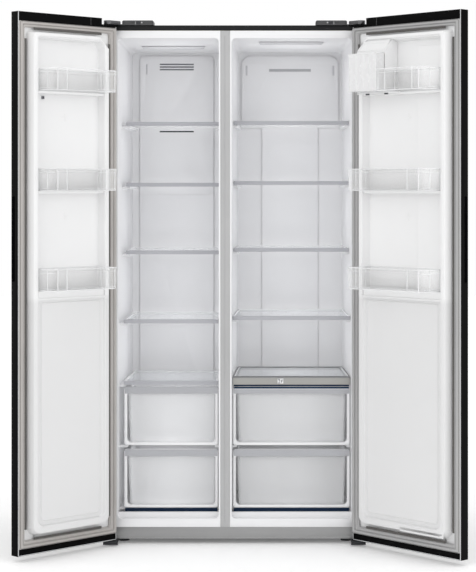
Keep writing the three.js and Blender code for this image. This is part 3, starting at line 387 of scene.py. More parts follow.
def add_piece(mesh, body, slot, mat, nodes=(), bevel=0.0, segments=3, angle=30.0):
    obj = bpy.data.objects.new(mesh.name, mesh)
    bpy.context.scene.collection.objects.link(obj)
    mesh.materials.clear()
    mesh.materials.append(MATS[mat])
    mesh.shade_smooth()
    if bevel:
        mod = obj.modifiers.new("edges", "BEVEL")
        mod.width = bevel * MM
        mod.segments = segments
        mod.limit_method = "ANGLE"
        mod.angle_limit = math.radians(angle)
        mod.harden_normals = True
    else:
        mesh.set_sharp_from_angle(angle=math.radians(angle))
    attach(obj, body)
    if nodes:
        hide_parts(*nodes)
    return obj


def body_of(node):
    return next(b for b, nodes in RECORD["behaviour"]["bodies"].items() if node in nodes)


def slot_of(node):
    return next(s["material_slot"] for s in RECORD["subparts"] if s["node"] == node)


def refined(node, mat=None, bevel=0.8, segments=2):
    """A copy of a CAD node with its flat faces merged and its edges rounded."""
    mesh = frame["nodes"][node].data.copy()
    mesh.name = f"{node}_skin"
    bm = bmesh.new()
    bm.from_mesh(mesh)
    bmesh.ops.remove_doubles(bm, verts=bm.verts, dist=1e-6)
    bmesh.ops.dissolve_limit(bm, angle_limit=math.radians(0.6), verts=bm.verts, edges=bm.edges)
    bm.to_mesh(mesh)
    bm.free()
    slot = slot_of(node)
    return add_piece(mesh, body_of(node), slot, mat or slot, [node], bevel, segments)


# ------------------------------------------------------------------ door liners
class Outline:
    """A rectangle on a door with rounded corners. Its upper ones, beside the hinge and beside the free
    edge, have their own radii, and the one beside the hinge may be cut straight."""

    def __init__(self, u, z, low, high, cut=False):
        self.u, self.z, self.low, self.cut = u, z, low, cut
        self.high = high if isinstance(high, tuple) else (high, high)

    def grown(self, by, head=1.0):
        u = (self.u[0] - by, self.u[1] + by)
        z = (self.z[0] - by, self.z[1] + by * (head if by < 0 else 1.0))
        high = tuple(max(1.0, radius + by) for radius in self.high)
        return Outline(u, z, max(1.0, self.low + by), high, self.cut)

    def towards(self, other, share):
        def mix(a, b):
            return a + (b - a) * share
        u = tuple(mix(a, b) for a, b in zip(self.u, other.u))
        z = tuple(mix(a, b) for a, b in zip(self.z, other.z))
        high = tuple(mix(a, b) for a, b in zip(self.high, other.high))
        return Outline(u, z, mix(self.low, other.low), high, self.cut)

    def span(self, z):
        """Its left and right sides at a height, held at its ends."""
        z = min(max(z, self.z[0]), self.z[1])

        def pull(radius, depth, cut=False):
            if depth >= radius:
                return 0.0
            return radius - (depth if cut else math.sqrt(radius ** 2 - (radius - depth) ** 2))

        low = pull(self.low, z - self.z[0])
        head = self.z[1] - z
        return (self.u[0] + max(low, pull(self.high[0], head, self.cut)),
                self.u[1] - max(low, pull(self.high[1], head)))

    def levels(self, steps=6):
        """Heights that follow the corners."""
        out = []
        corners = ((self.low, self.z[0], 1), (self.high[0], self.z[1], -1), (self.high[1], self.z[1], -1))
        for radius, end, inward in corners:
            for i in range(steps + 1):
                out.append(end + inward * radius * (1 - math.cos(i / steps * math.pi / 2)))
        return out


DIKE = {"height": 38, "edge": 3.3, "hinge_foot": 49, "hinge_top": 62, "free_foot": 32.6, "free_top": 36.5,
        "crest": 18, "foot_drop": 62, "top_drop": 68, "foot_rise": 63, "top_rise": 72, "radius": 26,
        "cut": 38, "free_corner": 9}
RECESS = {"floor": 5, "rise": 829, "drop": 78, "corner": 30, "panel_floor": 30,
          "panel_rise": 93, "sill": 6, "head_slope": 2.4}
CAPS = {"bottom": 23.3, "top": 30.3}
LINER_ROOT = -10  # how deep the liner's edge reaches into the door's body
# How the dike's outer wall climbs: shares from its foot to its top, and heights.
CLIMB = ((-0.3, 0.0), (-0.06, 0.7), (0.1, 3.4), (0.5, 17.5), (0.88, 31.5), (0.98, 35.4), (1.12, 37.5),
         (1.3, 38.0))
# How a recess falls from the crest: how far its outline is grown, and shares of its depth left.
FALL = ((3.0, 1.0), (1.2, 0.985), (0.2, 0.93), (-0.3, 0.84), (-2.0, 0.45), (-3.6, 0.1), (-4.6, 0.02),
        (-7.0, 0.0))


def height_at(outlines, z):
    """The height of the innermost outline that still holds z, or None."""
    found = None
    for outline, height in outlines:
        if outline.z[0] - 1e-6 <= z <= outline.z[1] + 1e-6:
            found = height
    return found


def door_liner(door):
    width, (z0, z1) = door.width, door.z
    d, r = DIKE, RECESS
    foot = Outline((d["hinge_foot"], width - d["free_foot"]), (z0 + d["foot_rise"], z1 - d["foot_drop"]), 34,
                   (d["cut"], d["free_corner"]), True)
    head = Outline((d["hinge_top"], width - d["free_top"]), (z0 + d["top_rise"], z1 - d["top_drop"]), 26,
                   (d["cut"], d["free_corner"]), True)
    wall = [(foot.towards(head, share), height) for share, height in CLIMB]
    inner = (d["hinge_top"] + d["crest"], width - d["free_top"] - d["crest"])
    sill_top = z0 + r["rise"]
    upper = Outline(inner, (sill_top, z1 - r["drop"]), 4, (r["corner"], d["free_corner"]))
    lower = Outline(inner, (z0 + r["panel_rise"], sill_top - r["sill"]), d["radius"], 6)
    falls = []
    for outline, floor, head in ((lower, r["panel_floor"], 1.0), (upper, r["floor"], r["head_slope"])):
        falls.append([(outline.grown(by, head), floor + (d["height"] - floor) * share) for by, share in FALL])
    middle = sill_top - r["sill"] / 2
    for outlines, above in ((falls[0], False), (falls[1], True)):
        for outline, _ in outlines:
            low, high = outline.z
            outline.z = (max(low, middle), high) if above else (low, min(high, middle))
    ends = (z0 + CAPS["bottom"], z1 - CAPS["top"])
    heights = set(ends)
    for outline, _ in wall + falls[0] + falls[1]:
        heights.update(round(z, 3) for z in outline.levels())
        heights.update(round(z, 3) for z in outline.z)
    rows = []
    for z in sorted(heights):
        if not ends[0] <= z <= ends[1]:
            continue
        top = height_at(wall, z) or 0.0
        left, right = [], []
        for outline, height in wall:
            a, b = outline.span(z)
            left.append((a, min(height, top), z))
            right.append((b, min(height, top), z))
        active = falls[0] if z <= middle else falls[1]
        depth = height_at(active, z)
        depth = top if depth is None else min(depth, top)
        for outline, height in active:
            a, b = outline.span(z)
            left.append((a, max(height, depth) if depth < top else top, z))
            right.append((b, max(height, depth) if depth < top else top, z))
        e = d["edge"]
        hinge_side = [(e, LINER_ROOT, z), (e, 0, z)]
        free_side = [(width - e, 0, z), (width - e, LINER_ROOT, z)]
        rows.append([*hinge_side, *left, *reversed(right), *free_side])
    closing = [(u, LINER_ROOT, ends[0]) for u, _, _ in rows[0]]
    opening = [(u, LINER_ROOT, ends[1]) for u, _, _ in rows[-1]]
    mesh = skinned(f"{door.side}_door_liner_moulding", door.place, [closing, *rows, opening])
    node = f"{door.side}_door_liner"
    add_piece(mesh, door.body, "white_plastic", "door_white", [node], angle=38.0)
    return inner, sill_top, z1 - r["drop"]


def liner_details(door, inner, sill, top):
    """The ledges under the bins, the pressed marks, and the step beside the free edge."""
    name = f"{door.side}_door"
    bases = [door.extent(f"{name}_bin_{level}")[2][0] for level in (3, 2, 1)]
    floor = RECESS["floor"]
    lows = [sill - 1, bases[1] - 9, bases[2] - 9]
    across = (inner[0] + 2, inner[1] - 2)
    ledges = [(across, (floor - 1, 34), (low, base - 0.6)) for low, base in zip(lows, bases)]
    mesh = blocks(f"{name}_bin_ledges", door.place, ledges)
    add_piece(mesh, door.body, "white_plastic", "door_white", [f"{name}_liner"], 1.6)
    middle = (inner[0] + inner[1]) / 2 + 6
    reach, half_line = 13, 1.4
    pressed = (floor - 0.5, floor + 0.9)
    marks = []
    for base in bases:
        z = base + (62 if base == bases[2] else 240)
        for half_u, half_z in ((reach, half_line), (half_line, reach)):
            marks.append(((middle - half_u, middle + half_u), pressed, (z - half_z, z + half_z)))
    mesh = blocks(f"{name}_pressed_marks", door.place, marks)
    add_piece(mesh, door.body, "white_plastic", "door_white", [f"{name}_liner"], 0.5, 2)
    if door.side == "right":
        strips = [((300, inner[1] - 3), (floor - 1, floor + 2.5), (sill + 3, top - 30))]
        mesh = blocks(f"{name}_liner_step", door.place, strips)
        add_piece(mesh, door.body, "white_plastic", "door_white", [f"{name}_liner"], 1.4)
    border = 16
    low = door.z[0] + RECESS["panel_rise"]
    rails = rounded((inner[0] + border, inner[1] - border), (low + border, sill - RECESS["sill"] - 10), 15, 6)
    path = [(u, RECESS["panel_floor"] + 0.2, z) for u, z in rails]
    mesh = tube(f"{name}_panel_bead", door.place, path, 1.5)
    add_piece(mesh, door.body, "white_plastic", "door_white", [f"{name}_liner"], angle=60.0)
    lip = ((door.width * 0.52, door.width - DIKE["free_top"] - 6), (34, 38.0),
           (door.z[0] + DIKE["top_rise"] - 4, door.z[0] + DIKE["top_rise"] + 12))
    if door.side == "right":
        add_piece(blocks(f"{name}_lower_lip", door.place, [lip]), door.body, "white_plastic", "door_white",
                  [f"{name}_liner"], 2.5)


# Shares of the way from the gasket's outer edge to its inner one, and heights above the body's face.
GASKET_PROFILE = ((0.0, 0.3), (0.02, 4.6), (0.07, 6.4), (0.12, 6.6), (0.14, 9.4), (0.19, 12.4), (0.26, 13.2),
                  (0.4, 13.2), (0.47, 12.2), (0.5, 8.6), (0.54, 8.2), (0.58, 8.8), (0.62, 11.0), (0.8, 11.4),
                  (0.88, 10.6), (0.93, 8.0), (1.0, 7.2), (1.0, 0.3))
GASKET = {"edge": 3.3, "hinge_inner": 36, "free_inner": 20, "low_inner": 27, "high_inner": 21,
          "fin": 7, "corner": 36, "groove": 0.1, "groove_height": 6.6}


def door_gasket(door):
    g = GASKET
    width = door.width
    ends = (door.z[0] + CAPS["bottom"], door.z[1] - CAPS["top"])
    outer = ((g["edge"], width - g["edge"]), ends)
    inner = ((g["hinge_inner"], width - g["free_inner"]),
             (ends[0] + g["low_inner"], ends[1] - g["high_inner"]))
    rows = []
    for share, height in GASKET_PROFILE:
        u, z = [tuple(a + (b - a) * share for a, b in zip(out, inn)) for out, inn in zip(outer, inner)]
        rows.append([(a, height, b) for a, b in rounded(u, z, 3.0 + 3 * share, steps=4)])
    rows.append(rows[0])
    node = f"{door.side}_door_gasket"
    mesh = skinned(f"{node}_bulb", door.place, rows, loop=True)
    # One rubber, with lit and shaded copies of its colour for the two doors: painted light and shade.
    rubber = "gasket" if door.side == "left" else "gasket_shaded_copy"
    add_piece(mesh, door.body, "gasket", rubber, [node], angle=35.0)
    (a0, a1), (b0, b1) = inner
    # The inner flap's fins are near-black: painted shade for the shadow in the recess between the gasket and the
    # liner.
    c, fin = g["corner"], g["fin"]
    level = (9.0, 10.3)
    fins = [((a0 - 1, a0 + fin), level, (b0 + c, b1 - c)), ((a1 - fin, a1 + 1), level, (b0 + c, b1 - c)),
            ((a0 + c, a1 - c), level, (b0 - 1, b0 + fin)), ((a0 + c, a1 - c), level, (b1 - fin, b1 + 1))]
    add_piece(blocks(f"{node}_fins", door.place, fins), door.body, "gasket", "gasket_painted_shade", [node], 0.5)
    # A near-black line along the crease at the foot of the bulb's step: painted shade.
    u, z = [tuple(a + (b - a) * g["groove"] for a, b in zip(out, inn)) for out, inn in zip(outer, inner)]
    path = [(a, g["groove_height"], b) for a, b in rounded(u, z, 4.0, steps=4)]
    groove = joined(f"{node}_grooves", tube("groove", door.place, path, 0.7))
    add_piece(groove, door.body, "gasket", "gasket_painted_shade", [node], angle=60.0)


# ------------------------------------------------------------------ door bodies
GLASS = 3.4


def split_at(mesh, door, depth, keep_outer):
    """What of a door mesh lies outside or inside a plane parallel to the door, closed over the cut."""
    bm = bmesh.new()
    bm.from_mesh(mesh)
    bmesh.ops.remove_doubles(bm, verts=bm.verts, dist=1e-6)
    bmesh.ops.dissolve_limit(bm, angle_limit=math.radians(0.6), verts=bm.verts, edges=bm.edges)
    normal = door.turn @ Vector((0, 1, 0))
    geometry = bm.verts[:] + bm.edges[:] + bm.faces[:]
    result = bmesh.ops.bisect_plane(bm, geom=geometry, plane_co=door.place(0, depth, 0), plane_no=normal,
                                    clear_outer=keep_outer, clear_inner=not keep_outer)
    edges = [item for item in result["geom_cut"] if isinstance(item, bmesh.types.BMEdge)]
    bmesh.ops.holes_fill(bm, edges=edges)
    part = bpy.data.meshes.new("part")
    bm.to_mesh(part)
    bm.free()
    return part


def door_body(door):
    node = f"{door.side}_door_panel"
    source = frame["nodes"][node].data
    outer = door.n[0]
    glass = split_at(source, door, outer + GLASS, True)
    glass.name = f"{node}_glass"
    add_piece(glass, door.body, "door_glass", "door_glass", [node], 0.7, 3)
    case = split_at(source, door, outer + GLASS + 0.3, False)
    case.name = f"{node}_frame"
    add_piece(case, door.body, "black_paint", "door_edge", [node], 0.6, 2)
    low, high = door.z[0] + 2, door.z[1] - 1
    line = [((door.width - 3.0, door.width - 0.4), (-0.6, 0.5), (low, high)),
            ((0.6, 2.6), (-0.6, 0.4), (low, high - 26)),
            ((2, door.width - 2), (-0.6, 0.4), (low - 1, low + 1))]
    add_piece(blocks(f"{node}_edge_line", door.place, line), door.body, "steel", "edge_line", [node], 0.3, 2)
    seam = [((109, 110.6), (-0.4, 0.25), (door.z[1] - 28, door.z[1] - 1))]
    add_piece(blocks(f"{node}_cap_seam", door.place, seam), door.body, "steel", "hinge_grey", [node])


# ------------------------------------------------------------------ door bins
def bin_ring(u, n, z):
    """The bin's outline at a height: its front corners are more rounded than its back ones."""
    return [(a, b, z) for a, b in rounded(u, n, 3, 12, steps=5)]


def door_bin(door, node):
    u, n, z = door.extent(node)
    wall, taper = 2.4, 2.0

    def ring(height, inset):
        pull = taper * (1 - (height - z[0]) / (z[1] - z[0]))
        sides = (u[0] + inset + pull, u[1] - inset - pull)
        return bin_ring(sides, (n[0] + inset, n[1] - inset - 1.5 * pull), height)

    low, high = z
    heights = (low, low + 1.5, low + 30, high - 8, high - 1)
    rows = [ring(low, 6)] + [ring(h, 0.4) for h in heights]
    rows += [ring(high, 0.8), ring(high, wall - 0.4)]
    rows += [ring(h, wall) for h in (high - 1, high - 8, low + 30, low + wall + 1.5)]
    rows.append(ring(low + wall, 6))
    mesh = skinned(f"{node}_shell", door.place, rows, loop=True)
    floor_low = [door.place(*p) for p in ring(low, 6)]
    floor_high = [door.place(*p) for p in ring(low + wall, 6)]
    floor = plate("floor", floor_low, floor_high)
    mesh = joined(f"{node}_shell", mesh, floor)
    add_piece(mesh, node, "clear_plastic", "clear_plastic", [node], angle=32.0)
    rim = tube("rim", door.place, ring(high - 1.4, 1.4), 1.3)
    belt = tube("belt", door.place, ring(high - 13, 0.9), 0.6)
    base = tube("base", door.place, ring(low + 1.6, 1.5), 1.4)
    base_top = tube("base_top", door.place, ring(low + 8, 0.9), 0.6)
    lines = []
    span = u[1] - u[0]
    for share in (0.0, 0.16, 0.84, 1.0):
        a = u[0] + 14 + share * (span - 28)
        lines.append(((a - 0.6, a + 0.6), (n[1] - 4.6, n[1] - 1.2), (low + 3, high - 3)))
    for end in (0, 1):
        side = u[end] + (3.2 if end == 0 else -3.2)
        for depth in (0.2, 0.62):
            at = n[0] + depth * (n[1] - n[0])
            lines.append(((side - 1.4, side + 1.4), (at - 0.6, at + 0.6), (low + 3, high - 3)))
    ribs = blocks("ribs", door.place, lines)
    edges = joined(f"{node}_edges", rim, belt, base, base_top, ribs)
    add_piece(edges, node, "clear_plastic", "clear_edge", [node], angle=50.0)


# The flap's front from end to end: shares of its length, and how far it is set back.
FACETS = ((0.0, 1.6), (0.04, 0.0), (0.26, 0.0), (0.29, 2.4), (0.42, 2.6), (0.45, 0.4), (0.55, 0.4),
          (0.58, 2.2), (0.71, 2.4), (0.74, 0.2), (0.92, 0.2), (0.95, 1.8), (1.0, 2.4))


def dairy_hood(door):
    """The closed sloping roof over the flap."""
    u, n, z = door.extent("dairy_housing")
    front = n[1] + 2
    eaves, top = z[0] + 132, z[1] - 0.5
    slope = top - eaves
    back, under = n[0] + 34, z[0] + 124
    profile = [(back, under), (front - 2, under), (front, under + 2), (front, eaves - 1),
               (front - 1, eaves + 1), (front - slope + 2, top - 2), (front - slope - 1, top), (back, top)]
    rows = [[(a, b, c) for b, c in profile] for a in (u[0] + 0.3, u[1] - 0.3)]
    sides = [mesh_of("side", [door.place(*p) for p in row], [tuple(range(len(row)))]) for row in rows]
    mesh = joined("dairy_hood", skinned("hood", door.place, rows, loop=True), *sides)
    add_piece(mesh, door.body, "white_plastic", "door_white", ["dairy_housing"], 1.2)
    seam = [((u[0] + 1, u[1] - 1), (front - 0.2, front + 0.5), (z[0] + 127.6, z[0] + 128.8))]
    add_piece(blocks("dairy_hood_seam", door.place, seam), door.body, "white_plastic", "slot_grey",
              ["dairy_housing"])


def dairy(door):
    refined("dairy_housing", "door_white", 2.0, 3)
    dairy_hood(door)
    u, n, z = door.extent("dairy_flap")
    wall = 2.2
    low, high = z[0] + 4, z[1] - 4
    length = u[1] - u[0] - 4
    outer = [(u[0] + 2 + share * length, n[1] - 0.3 - back) for share, back in FACETS]
    inner = [(a, b - wall) for a, b in outer]
    profile = [(u[0] + 0.4, n[0]), *outer, (u[1] - 0.4, n[0])]
    profile += [(u[1] - wall, n[0]), *reversed(inner), (u[0] + wall, n[0])]
    rows = [[(a, b, h) for a, b in profile] for h in (low, high)]
    mesh = skinned("dairy_flap_front", door.place, rows, loop=True)
    ends = blocks("ends", door.place, [((u[0] + 0.4, u[1] - 0.4), (n[0], n[1] - 1.0), zs) for zs in
                                       ((z[0] + 0.4, low + 0.5), (high - 0.5, z[1] - 0.4))])
    add_piece(joined("dairy_flap_front", mesh, ends), "dairy_flap", "clear_plastic", "flap_white",
              ["dairy_flap"], 0.5, 2, 12.0)


def right_door_extras(door):
    """The white strip under the dairy compartment, with its two bracket holes drawn as near-black patches: painted
    shade for the dark inside them.
    """
    u, _, z = door.extent("dairy_housing")
    z_strip = (z[0] - 5, z[0] - 1.2)
    strip = [((u[0] - 2, u[0] + 188), (60, 66), z_strip)]
    add_piece(blocks("dairy_base_strip", door.place, strip), door.body, "white_plastic", "door_white",
              ["dairy_housing"], 0.8)
    # The holes are flat near-black blocks: painted shade.
    holes = [((a - 8, a + 8), (64, 66.6), (z_strip[0] - 4, z_strip[0] + 1)) for a in (u[0] + 46, u[0] + 130)]
    add_piece(blocks("dairy_bracket_hole_shade", door.place, holes), door.body, "dark_plastic", "dark_plastic",
              ["dairy_housing"], 0.4)


def left_door_extras(door, inner):
    """The square screw plug below the top bin."""
    base = door.extent("left_door_bin_1")[2][0]
    a = inner[1] - 41
    plug = [((a - 5, a + 5), (RECESS["floor"], RECESS["floor"] + 4), (base - 26, base - 16))]
    add_piece(blocks("left_door_screw_plug", door.place, plug), door.body, "dark_plastic", "slot_shade",
              ["left_door_liner"], 1.2)
    screw = [((a - 2.6, a + 2.6), (RECESS["floor"] + 3.6, RECESS["floor"] + 4.4), (base - 23.6, base - 18.4))]
    add_piece(blocks("left_door_screw", door.place, screw), door.body, "dark_plastic", "dark_plastic",
              ["left_door_liner"], 0.5)


# ------------------------------------------------------------------ shelves and covers
RIM = 7


def shelf_pieces(node, bar_depth, frame_mat, bar_mat):
    """A glass sheet in its frame, with a front bar, as wide as the cavity allows at each depth."""
    (_, _), (y0, y1), (z0, z1) = box_of(node)
    front = side_to_side(node, y0)
    back = side_to_side(node, y1)
    body, slot = body_of(node), slot_of(node)

    def across(y, inset):
        share = (y - y0) / (y1 - y0)
        return tuple(
            f + (b - f) * share + sign * inset for f, b, sign in zip(front, back, (1, -1))
        )

    bar_y = (y0 + 0.2, y0 + bar_depth)
    bar = [((across(bar_y[0], 0.2), across(bar_y[1], 0.2)), bar_y, (z0 + 0.2, z1 - 0.2))]
    add_piece(blocks(f"{node}_front_bar", cabinet, bar), body, slot, bar_mat, [node], 1.6)
    ys = (y0 + bar_depth + 0.3, y1 - 0.2)
    low = max(z0, z1 - 9)
    inner_back = ys[1] - RIM
    rails = []
    for end in (0, 1):
        near, far = across(ys[0], 0.3)[end], across(ys[1], 0.3)[end]
        step = RIM if end == 0 else -RIM
        pairs = (tuple(sorted((near, near + step))), tuple(sorted((far, far + step))))
        rails.append((pairs, ys, (low, z1 - 0.3)))
    rails.append(((across(inner_back, RIM), across(ys[1], RIM)), (inner_back, ys[1]), (low, z1 - 0.3)))
    add_piece(blocks(f"{node}_frame", cabinet, rails), body, slot, frame_mat, [node], 1.0)
    glass_y = (ys[0], inner_back - 0.3)
    sheet = [((across(glass_y[0], RIM + 0.5), across(glass_y[1], RIM + 0.5)), glass_y, (z1 - 5.2, z1 - 1.2))]
    add_piece(blocks(f"{node}_glass", cabinet, sheet), body, slot, "shelf_glass", [node], 0.8)
    edge = [((across(glass_y[0], RIM + 2), across(glass_y[0] + 1.4, RIM + 2)), (glass_y[0], glass_y[0] + 1.4),
             (z1 - 1.1, z1 - 0.3))]
    add_piece(blocks(f"{node}_glass_edge", cabinet, edge), body, slot, "glass_edge", [node])
    return across, (y0, y1), (z0, z1)


def crisper_details(across, ys, zs):
    """The dark wire along the cover's edges and the lines along its bar."""
    y0, y1 = ys
    top = zs[1]
    corners = [(across(y0 + 16, 2)[0], y0 + 16), (across(y1 - 3, 2)[0], y1 - 3),
               (across(y1 - 3, 2)[1], y1 - 3), (across(y0 + 16, 2)[1], y0 + 16)]
    path = [(x, y, top - 1.6) for x, y in corners]
    add_piece(tube("crisper_cover_wire", cabinet, path, 2.4), "root", "dark_metal", "wire", ["crisper_cover"],
              angle=60.0)
    inner = [(x + (12 if i < 2 else -12), y + (0 if i in (0, 3) else -12), top - 1.6)
             for i, (x, y) in enumerate(corners)]
    add_piece(tube("crisper_cover_inner_wire", cabinet, inner, 1.1), "root", "dark_metal", "wire",
              ["crisper_cover"], angle=60.0)
    line = [(across(y0, 1), (y0 - 0.1, y0 + 1), (top - 3.4, top - 1.6))]
    add_piece(blocks("crisper_cover_bar_line", cabinet, line), "root", "grey_trim", "slot_shade",
              ["crisper_cover"])


def painted_shadow_strip(name, node, y, z):
    """A navy strip as a line above or below a drawer: painted shadow for the gap there."""
    xs = side_to_side(node, box_of(node)[1][1])
    strip = [((xs[0] + 3, xs[1] - 3), y, z)]
    add_piece(blocks(name, cabinet, strip), "root", "dark_plastic", "navy_painted_shadow",
              ["crisper_cover" if "fridge" in name else "freezer_drawer_cover"], 1.0)


# ------------------------------------------------------------------ drawers
# Widths round a drawer's front, the height of the painted shadow strip along its top, how far its window is set
# back, and its outer corner's radius.
DRAWER = {"frame": 9, "band": 24, "pane": 6, "shadow_gap": 7, "corner": 9}


def drawer_pieces(room, which):
    name = f"{room}_{which}_drawer"
    node = f"{name}_front"
    x, (y0, y1), z = box_of(node)
    d = DRAWER
    opening = ((x[0] + d["frame"], x[1] - d["frame"]), (z[0] + d["frame"], z[1] - d["band"]))
    rims = ((3.0, y1 - 1.2), (0.3, y1 - 3), (0.3, y0 + 3.4), (2.0, y0 + 0.8), (3.4, y0 + 0.2))
    outer = [[(a, y, b) for a, b in rounded((x[0] + i, x[1] - i), (z[0] + i, z[1] - i),
                                            max(1.0, d["corner"] - i), steps=6)]
             for i, y in rims]
    holes = ((-1.6, y0 + 0.2), (-0.2, y0 + 1.0), (0.4, y0 + 3.0), (1.2, y0 + 7.0), (1.6, y1 - 1.4))
    inner = [[(a, y, b) for a, b in rounded((opening[0][0] + i, opening[0][1] - i),
                                            (opening[1][0] + i, opening[1][1] - i), 14, 4, steps=6)]
             for i, y in holes]
    rows = [*outer, *inner, outer[0]]
    mesh = skinned(f"{name}_frame", cabinet, rows, loop=True)
    add_piece(mesh, name, "white_plastic", "frame_white", [node], angle=40.0)
    # The fridge's upper drawer carries a navy strip along its top, and its grey band stops below it: painted
    # shadow for the gap under the crisper cover.
    gap_shadowed = name == "fridge_upper_drawer"
    band_top = z[1] - (d["shadow_gap"] + 0.4 if gap_shadowed else 0.6)
    band = [((x[0] + 2.5, x[1] - 2.5), (y0 + 0.05, y0 + 2.2), (z[1] - d["band"], band_top))]
    add_piece(blocks(f"{name}_handle_band", cabinet, band), name, "grey_trim", "band_grey", [node], 1.2)
    if gap_shadowed:
        shadow_gap = [((x[0] + 3, x[1] - 3), (y0 + 0.05, y0 + 2.2), (z[1] - d["shadow_gap"], z[1] - 0.4))]
        add_piece(blocks(f"{name}_seal", cabinet, shadow_gap), name, "dark_plastic", "navy_painted_shadow", [node], 0.8)
    pane_x = (opening[0][0] - 1, opening[0][1] + 1)
    pane = [(pane_x, (y0 + d["pane"], y0 + d["pane"] + 2.2), (opening[1][0] - 1, opening[1][1] + 1))]
    add_piece(blocks(f"{name}_window", cabinet, pane), name, "clear_plastic", "clear_plastic", [node], 0.6)
    tub_pieces(name, f"{name}_tub")


def tub_pieces(name, node):
    x, (y0, y1), (z0, z1) = box_of(node)
    draft, wall, radius = 8.0, 2.6, 12

    def ring(z, inset):
        pull = draft * (1 - (z - z0) / (z1 - z0)) + inset
        ys = (y0 + inset + 0.5, y1 - pull)
        return [(a, b, z) for a, b in rounded((x[0] + pull, x[1] - pull), ys, radius, steps=5)]

    outside = ((z0, 12), (z0 + 0.2, 7), (z0 + 3, 1.5), (z0 + 8, 0.3), (z1 - 4, 0.3), (z1, 0.8))
    inside = ((z1, wall), (z1 - 4, wall), (z0 + 10, wall), (z0 + 5, wall + 2), (z0 + wall, wall + 8))
    rows = [ring(z, inset) for z, inset in outside + inside]
    mesh = skinned(f"{node}_shell", cabinet, rows, loop=True)
    low = [cabinet(*p) for p in ring(z0, 12)]
    high = [cabinet(*p) for p in ring(z0 + wall, wall + 8)]
    floor = plate("floor", low, high)
    add_piece(joined(f"{node}_shell", mesh, floor), name, "clear_plastic", "frosted", [node], angle=50.0)
    rim = tube("rim", cabinet, ring(z1 - 1.6, 1.5), 1.5)
    foot = tube("foot", cabinet, ring(z0 + 5, 1.9), 1.3)
    post_xs = ((x[0] + 9, x[0] + 12), (x[1] - 12, x[1] - 9))
    posts = [(xs, (y0 + 5, y0 + 8), (z0 + 6, z1 - 3)) for xs in post_xs]
    edges = joined(f"{node}_edges", rim, foot, blocks("posts", cabinet, posts))
    add_piece(edges, name, "clear_plastic", "clear_edge", [node], angle=50.0)


# ------------------------------------------------------------------ cabinet pieces
def duct_cover(node, shade):
    """The cover's pan, and flat grey sheets behind its slots: painted shade for the dark seen through them."""
    refined(node, "liner_white", 1.6, 3)
    (x0, x1), (y0, _), (_, z1) = box_of(node)
    y = (y0 + 3.1, y0 + 4.2)
    back = [((x0 + 34, x1 - 34), y, (z1 - 80, z1 - 16))]
    add_piece(blocks(f"{node}_slot_backs", cabinet, back), "root", "white_plastic", shade, [node])
    sides = [((x0 + 12, x0 + 33), y, (z1 - 90, z1 - 16)), ((x1 - 33, x1 - 12), y, (z1 - 90, z1 - 16))]
    add_piece(blocks(f"{node}_side_slot_backs", cabinet, sides), "root", "white_plastic", "pale_painted_slot_shade", [node])
    if node == "freezer_duct_cover":
        # A near-black sheet behind the freezer's low slot: painted shade.
        low = box_of("freezer_shelf_1")[2][0]
        back = [((x0 + 12, x1 - 12), y, (low - 20, low - 1))]
        add_piece(blocks(f"{node}_low_painted_slot_shade", cabinet, back), "root", "white_plastic", "dark_plastic",
                  [node])


def lamp(node):
    refined(node, "lens", 1.5, 3)


def hinge_cover(side):
    """The cover with its seams, its sunk panel as a near-black block of painted shade, and pale steel beside it: a
    painted highlight line and a screw where a glint shows.
    """
    node = f"hinge_cover_{side}"
    refined(node, "hinge_grey", 2.2, 4)
    (x0, x1), (y0, _), (z0, z1) = box_of(node)
    inward = 1 if side == "left" else -1
    start = x0 if side == "left" else x1

    def across(a, b):
        return tuple(sorted((start + inward * a, start + inward * b)))

    y = (y0 - 0.3, y0 + 0.8)
    # Near-black: two thin seams, and the sunk panel as a flat block of painted shade.
    dark = [(across(5, 7), y, (z0 + 1, z1 - 3)), (across(50, 62), y, (z0 + 2, z1 - 4)),
            (across(101, 104), y, (z0 + 1, z1 - 3))]
    add_piece(blocks(f"{node}_seams", cabinet, dark), "root", "dark_plastic", "wire", [node], 0.4)
    # Pale steel: a strip that is a painted highlight line, and a screw set where a glint shows, partly painted
    # highlight.
    pale = [(across(44, 46), y, (z0 + 2, z1 - 4)), (across(64, 69), y, (z0 + 6, z1 - 5))]
    add_piece(blocks(f"{node}_screw", cabinet, pale), "root", "steel", "steel", [node], 0.4)


# Nodes whose look is their own shape with its edges rounded: their finish, and the rounding.
PLAIN = {
    "cabinet_shell": ("black_paint", 1.2), "back_panel": ("steel", 0.5), "insulation_foam": ("foam", 0.0),
    "base_tray": ("dark_metal", 0.5), "rear_cover": ("dark_metal", 0.5),
    "freezer_liner": ("liner_white", 1.2), "fridge_liner": ("liner_white", 1.2),
    "centre_mullion": ("mullion_grey", 0.8),
    "bottom_rail": ("rail_grey", 0.8),
    "evaporator": ("steel", 0.3), "compressor": ("dark_metal", 1.5), "evaporator_fan": ("dark_plastic", 0.8),
    "top_hinge_left": ("hinge_metal", 0.8), "top_hinge_right": ("hinge_metal", 0.8),
    "bottom_hinge_left": ("dark_metal", 0.8), "bottom_hinge_right": ("dark_metal", 0.8),
    "rear_roller_left": ("dark_plastic", 0.8), "rear_roller_right": ("dark_plastic", 0.8),
    "front_foot_left": ("dark_plastic", 0.8), "front_foot_right": ("dark_plastic", 0.8),
    "humidity_slider": ("frame_white", 1.2),
}


# ------------------------------------------------------------------ stage, light and camera
def area_light(name, size, power, place, target):
    data = bpy.data.lights.new(name, "AREA")
    data.shape = "RECTANGLE"
    data.size, data.size_y = size
    data.energy = power
    light = bpy.data.objects.new(name, data)
    bpy.context.scene.collection.objects.link(light)
    light.location = place
    light.rotation_euler = (Vector(target) - Vector(place)).to_track_quat("-Z", "Y").to_euler()


